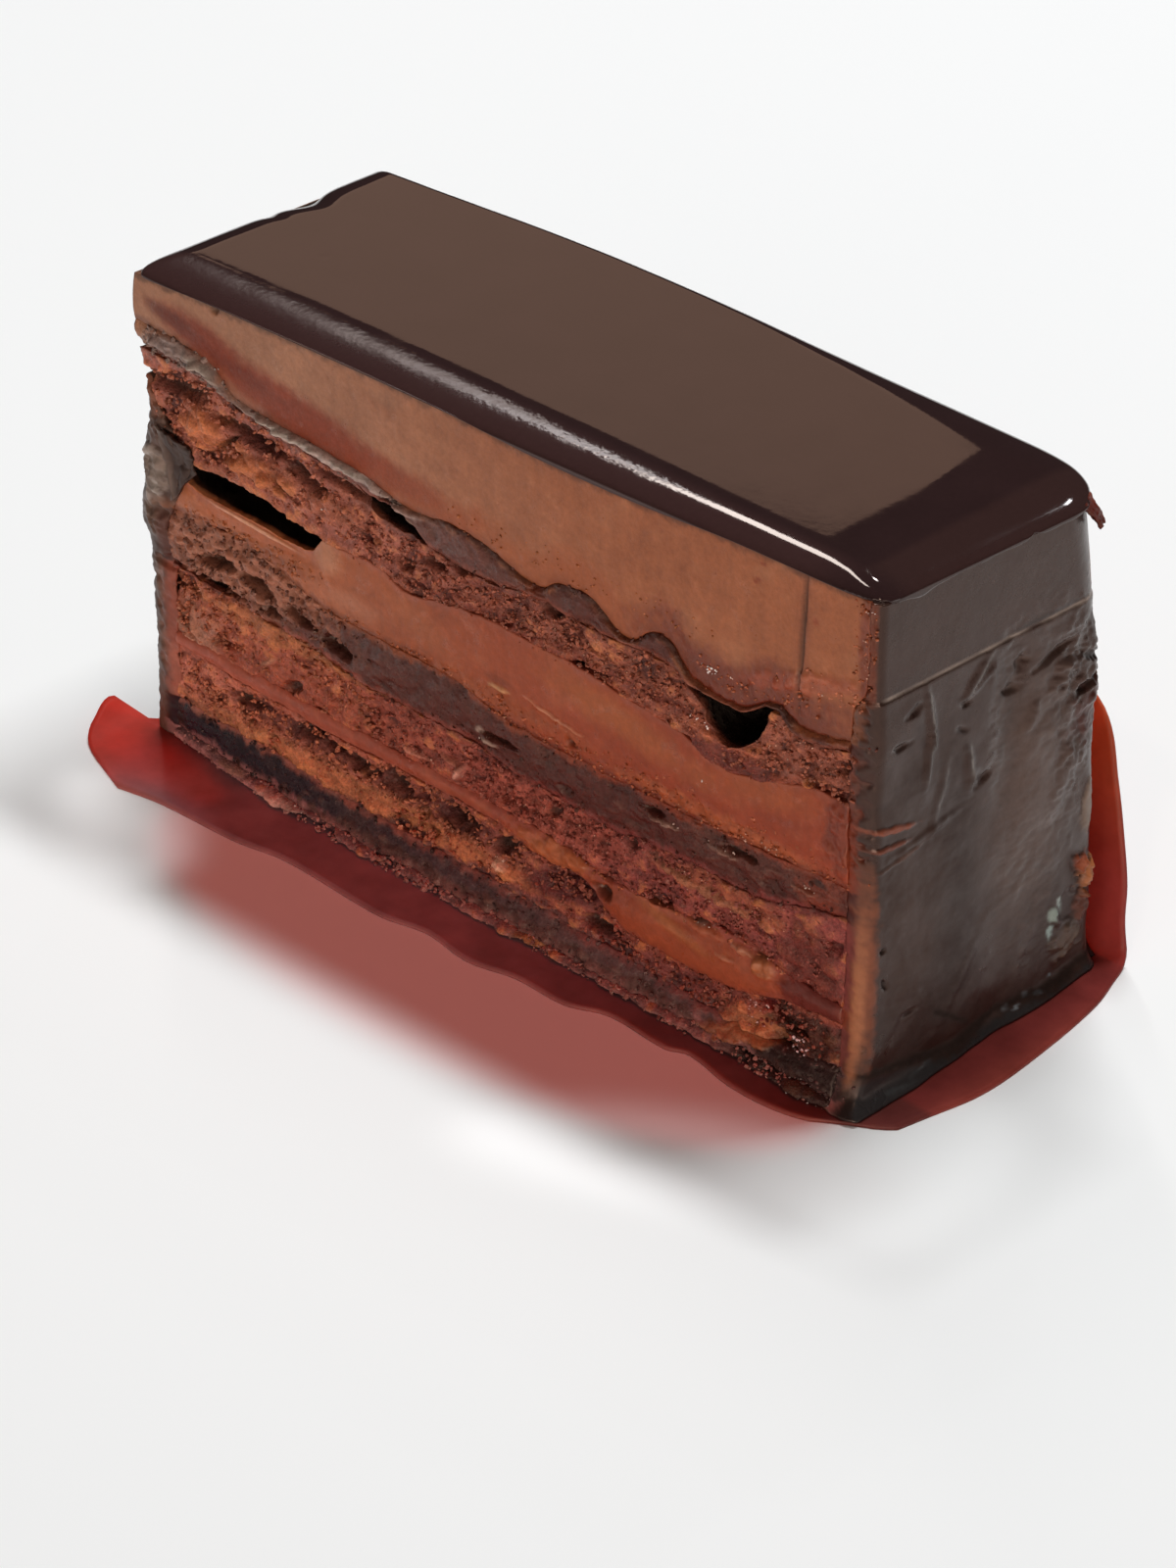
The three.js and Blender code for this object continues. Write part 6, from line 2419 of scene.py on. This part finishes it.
@dataclass(frozen=True)
class Studio:
    """Floor, lights and camera.

    Attributes:
        target: what the camera looks at, in millimetres in the slice's axes.
        azimuth: the camera's azimuth, where 0 looks along +y.
        elevation: its elevation.
        roll: its roll.
        distance: its distance from the target, in millimetres.
        lens: its focal length on a 36 mm sensor.
        lit_place: what the softboxes face, in the slice's axes.
        floor_size: side of the floor, in metres.
        floor: its surface.
        surround: colour of the dim light from all round.
        surround_glow: its brightness.
        backdrop: what the camera sees behind the floor.
        softboxes: the lights round the slice.
        glows: the lights on the floor near it.
    """

    target: tuple[float, float, float] = (43.217, 14.319, 6.108)
    azimuth: float = 44.979
    elevation: float = 31.291
    roll: float = -0.229
    distance: float = 427.5
    lens: float = 106.92
    lit_place: tuple[float, float, float] = (45, 15, 25)
    floor_size: float = 2.4
    floor: FloorFinish = FloorFinish("pale_floor", "#f3f5f6", rough=0.5)
    surround: Colour = (1.0, 0.92, 0.88)
    surround_glow: float = 0.018
    backdrop: Colour = (0.86, 0.86, 0.85)
    softboxes: tuple[Softbox, ...] = (
        Softbox("overhead_key", 99, 68.3, 1.2, 0.75, 0.12, 53.0, (1.0, 1.0, 1.0), mirrored=False),
        Softbox("front_fill", -58, 5.6, 1.5, 1.5, 0.29, 8.8, (1.0, 0.88, 0.78)),
        Softbox("wall_card", 136, 24.4, 1.5, 0.4, 0.23, 0.72, (1.0, 0.65, 0.47), -11),
        Softbox("window_bright", 142.0, 50.0, 1.5, 0.07, 0.52, 13.0, (1.0, 0.97, 0.94)),
        Softbox("window_middle", 142.6, 38.2, 1.5, 0.08, 0.07, 5.6, (0.95, 0.96, 1.0)),
        Softbox("window_dim", 143.4, 34.8, 1.5, 0.1, 0.09, 2.6, (1.0, 0.95, 0.93)),
        Softbox("window_faint", 146.6, 33.8, 1.5, 0.08, 0.07, 0.25, (1.0, 0.95, 0.93)),
        Softbox("corner_glint", 124, 43.6, 1.5, 0.03, 0.03, 50.0, (1.0, 1.0, 1.0)),
        Softbox("rim_glint", 114, 39.0, 1.5, 0.04, 0.07, 26.0, (0.85, 0.93, 1.0)),
        Softbox("glint_lamp", -64, 52, 1.5, 0.05, 0.05, 90.0, (1.0, 0.84, 0.68)),
    )
    glows: tuple[FloorGlow, ...] = (
        FloorGlow("film_glow", (79, 30), (50.5, -6.5, 6), 2, 0.00115, (1.0, 0.0, 0.0)),
        FloorGlow("tab_glow", (17, 6), (5.5, -5, 4), -4, 0.00008, (1.0, 0.05, 0.0)),
        FloorGlow("lift_left", (22, 11), (10, -14, 8), -25, 0.0002, (1.0, 0.98, 0.98)),
        FloorGlow("lift_right", (40, 13), (84, -16, 9), 31, 0.00022, (1.0, 0.98, 0.98)),
        FloorGlow("lift_side", (14, 28), (99, -4, 9), 10, 0.0002, (1.0, 1.0, 1.0)),
    )

    def build(self, placement: Placement) -> None:
        """Adds floor, lights, world and camera.

        Args:
            placement: where the slice lies.
        """
        self._floor()
        middle = Vector(placement.metres(np.array([self.lit_place]))[0])
        for softbox in self.softboxes:
            softbox.build(middle)
        for glow in self.glows:
            glow.build(placement)
        self._world()
        self._camera(placement)

    def _floor(self) -> None:
        """Adds the pale floor."""
        shape = bmesh.new()
        bmesh.ops.create_grid(shape, x_segments=8, y_segments=8, size=self.floor_size / 2)
        mesh = bpy.data.meshes.new("studio_floor")
        shape.to_mesh(mesh)
        shape.free()
        mesh.materials.append(self.floor.material())
        in_scene("studio_floor", mesh)

    def _world(self) -> None:
        """Adds a dim, even surround that the camera sees as pale."""
        world = bpy.data.worlds.new("studio_surround")
        bpy.context.scene.world = world
        world.use_nodes = True
        tree = world.node_tree
        tree.nodes.clear()
        out = tree.nodes.new("ShaderNodeOutputWorld")
        dim = tree.nodes.new("ShaderNodeBackground")
        dim.inputs["Color"].default_value = (*self.surround, 1)
        dim.inputs["Strength"].default_value = self.surround_glow
        pale = tree.nodes.new("ShaderNodeBackground")
        pale.inputs["Color"].default_value = (*self.backdrop, 1)
        seen = tree.nodes.new("ShaderNodeLightPath")
        both = tree.nodes.new("ShaderNodeMixShader")
        tree.links.new(seen.outputs["Is Camera Ray"], both.inputs[0])
        tree.links.new(dim.outputs[0], both.inputs[1])
        tree.links.new(pale.outputs[0], both.inputs[2])
        tree.links.new(both.outputs[0], out.inputs["Surface"])

    def _camera(self, placement: Placement) -> None:
        """Adds the camera.

        Args:
            placement: where the slice lies.
        """
        data = bpy.data.cameras.new("studio_camera")
        data.lens, data.sensor_width = self.lens, 36
        data.clip_start, data.clip_end = 0.01, 50
        camera = in_scene("studio_camera", data)
        a, e = math.radians(self.azimuth), math.radians(self.elevation)
        back = Vector((math.sin(a) * math.cos(e), -math.cos(a) * math.cos(e), math.sin(e)))
        target = Vector(placement.metres(np.array([self.target]))[0])
        camera.location = target + back * (self.distance * MM)
        level = back.to_track_quat("Z", "Y")
        rolled = level.to_matrix() @ Matrix.Rotation(math.radians(self.roll), 3, "Z")
        camera.rotation_euler = rolled.to_euler()
        bpy.context.scene.camera = camera


# ------------------------------------------------------------------ assembly


def main() -> None:
    """Builds the studio and every piece of the slice, in order."""
    logging.basicConfig(level=logging.INFO, format="%(relativeCreated)d ms %(message)s")
    bpy.context.scene.view_settings.view_transform = "Standard"
    outline = Outline()
    placement = Placement(outline)
    maker = Maker(placement)
    Studio().build(placement)
    stack = Stack(outline, LAYERS, HOLLOWS, GLAZE_UNDER)
    builder = LayerBuilder(stack, maker)
    for k in range(len(LAYERS)):
        builder.build(k)
    Glaze(outline, GLAZE_UNDER).build(maker)
    RightCoat(outline, GLAZE_UNDER).build(stack, maker)
    LeftCoat(outline).build(stack, maker)
    Liner().build(maker)
    for scrap in SCRAPS:
        scrap.build(maker)
    for crumbs in (SPONGE_CRUMBS, GANACHE_CRUMBS, CREAM_CRUMBS, MOIST_BEADS, PAINTED_GLINTS):
        crumbs.build(stack, maker)


if __name__ == "__main__":
    main()
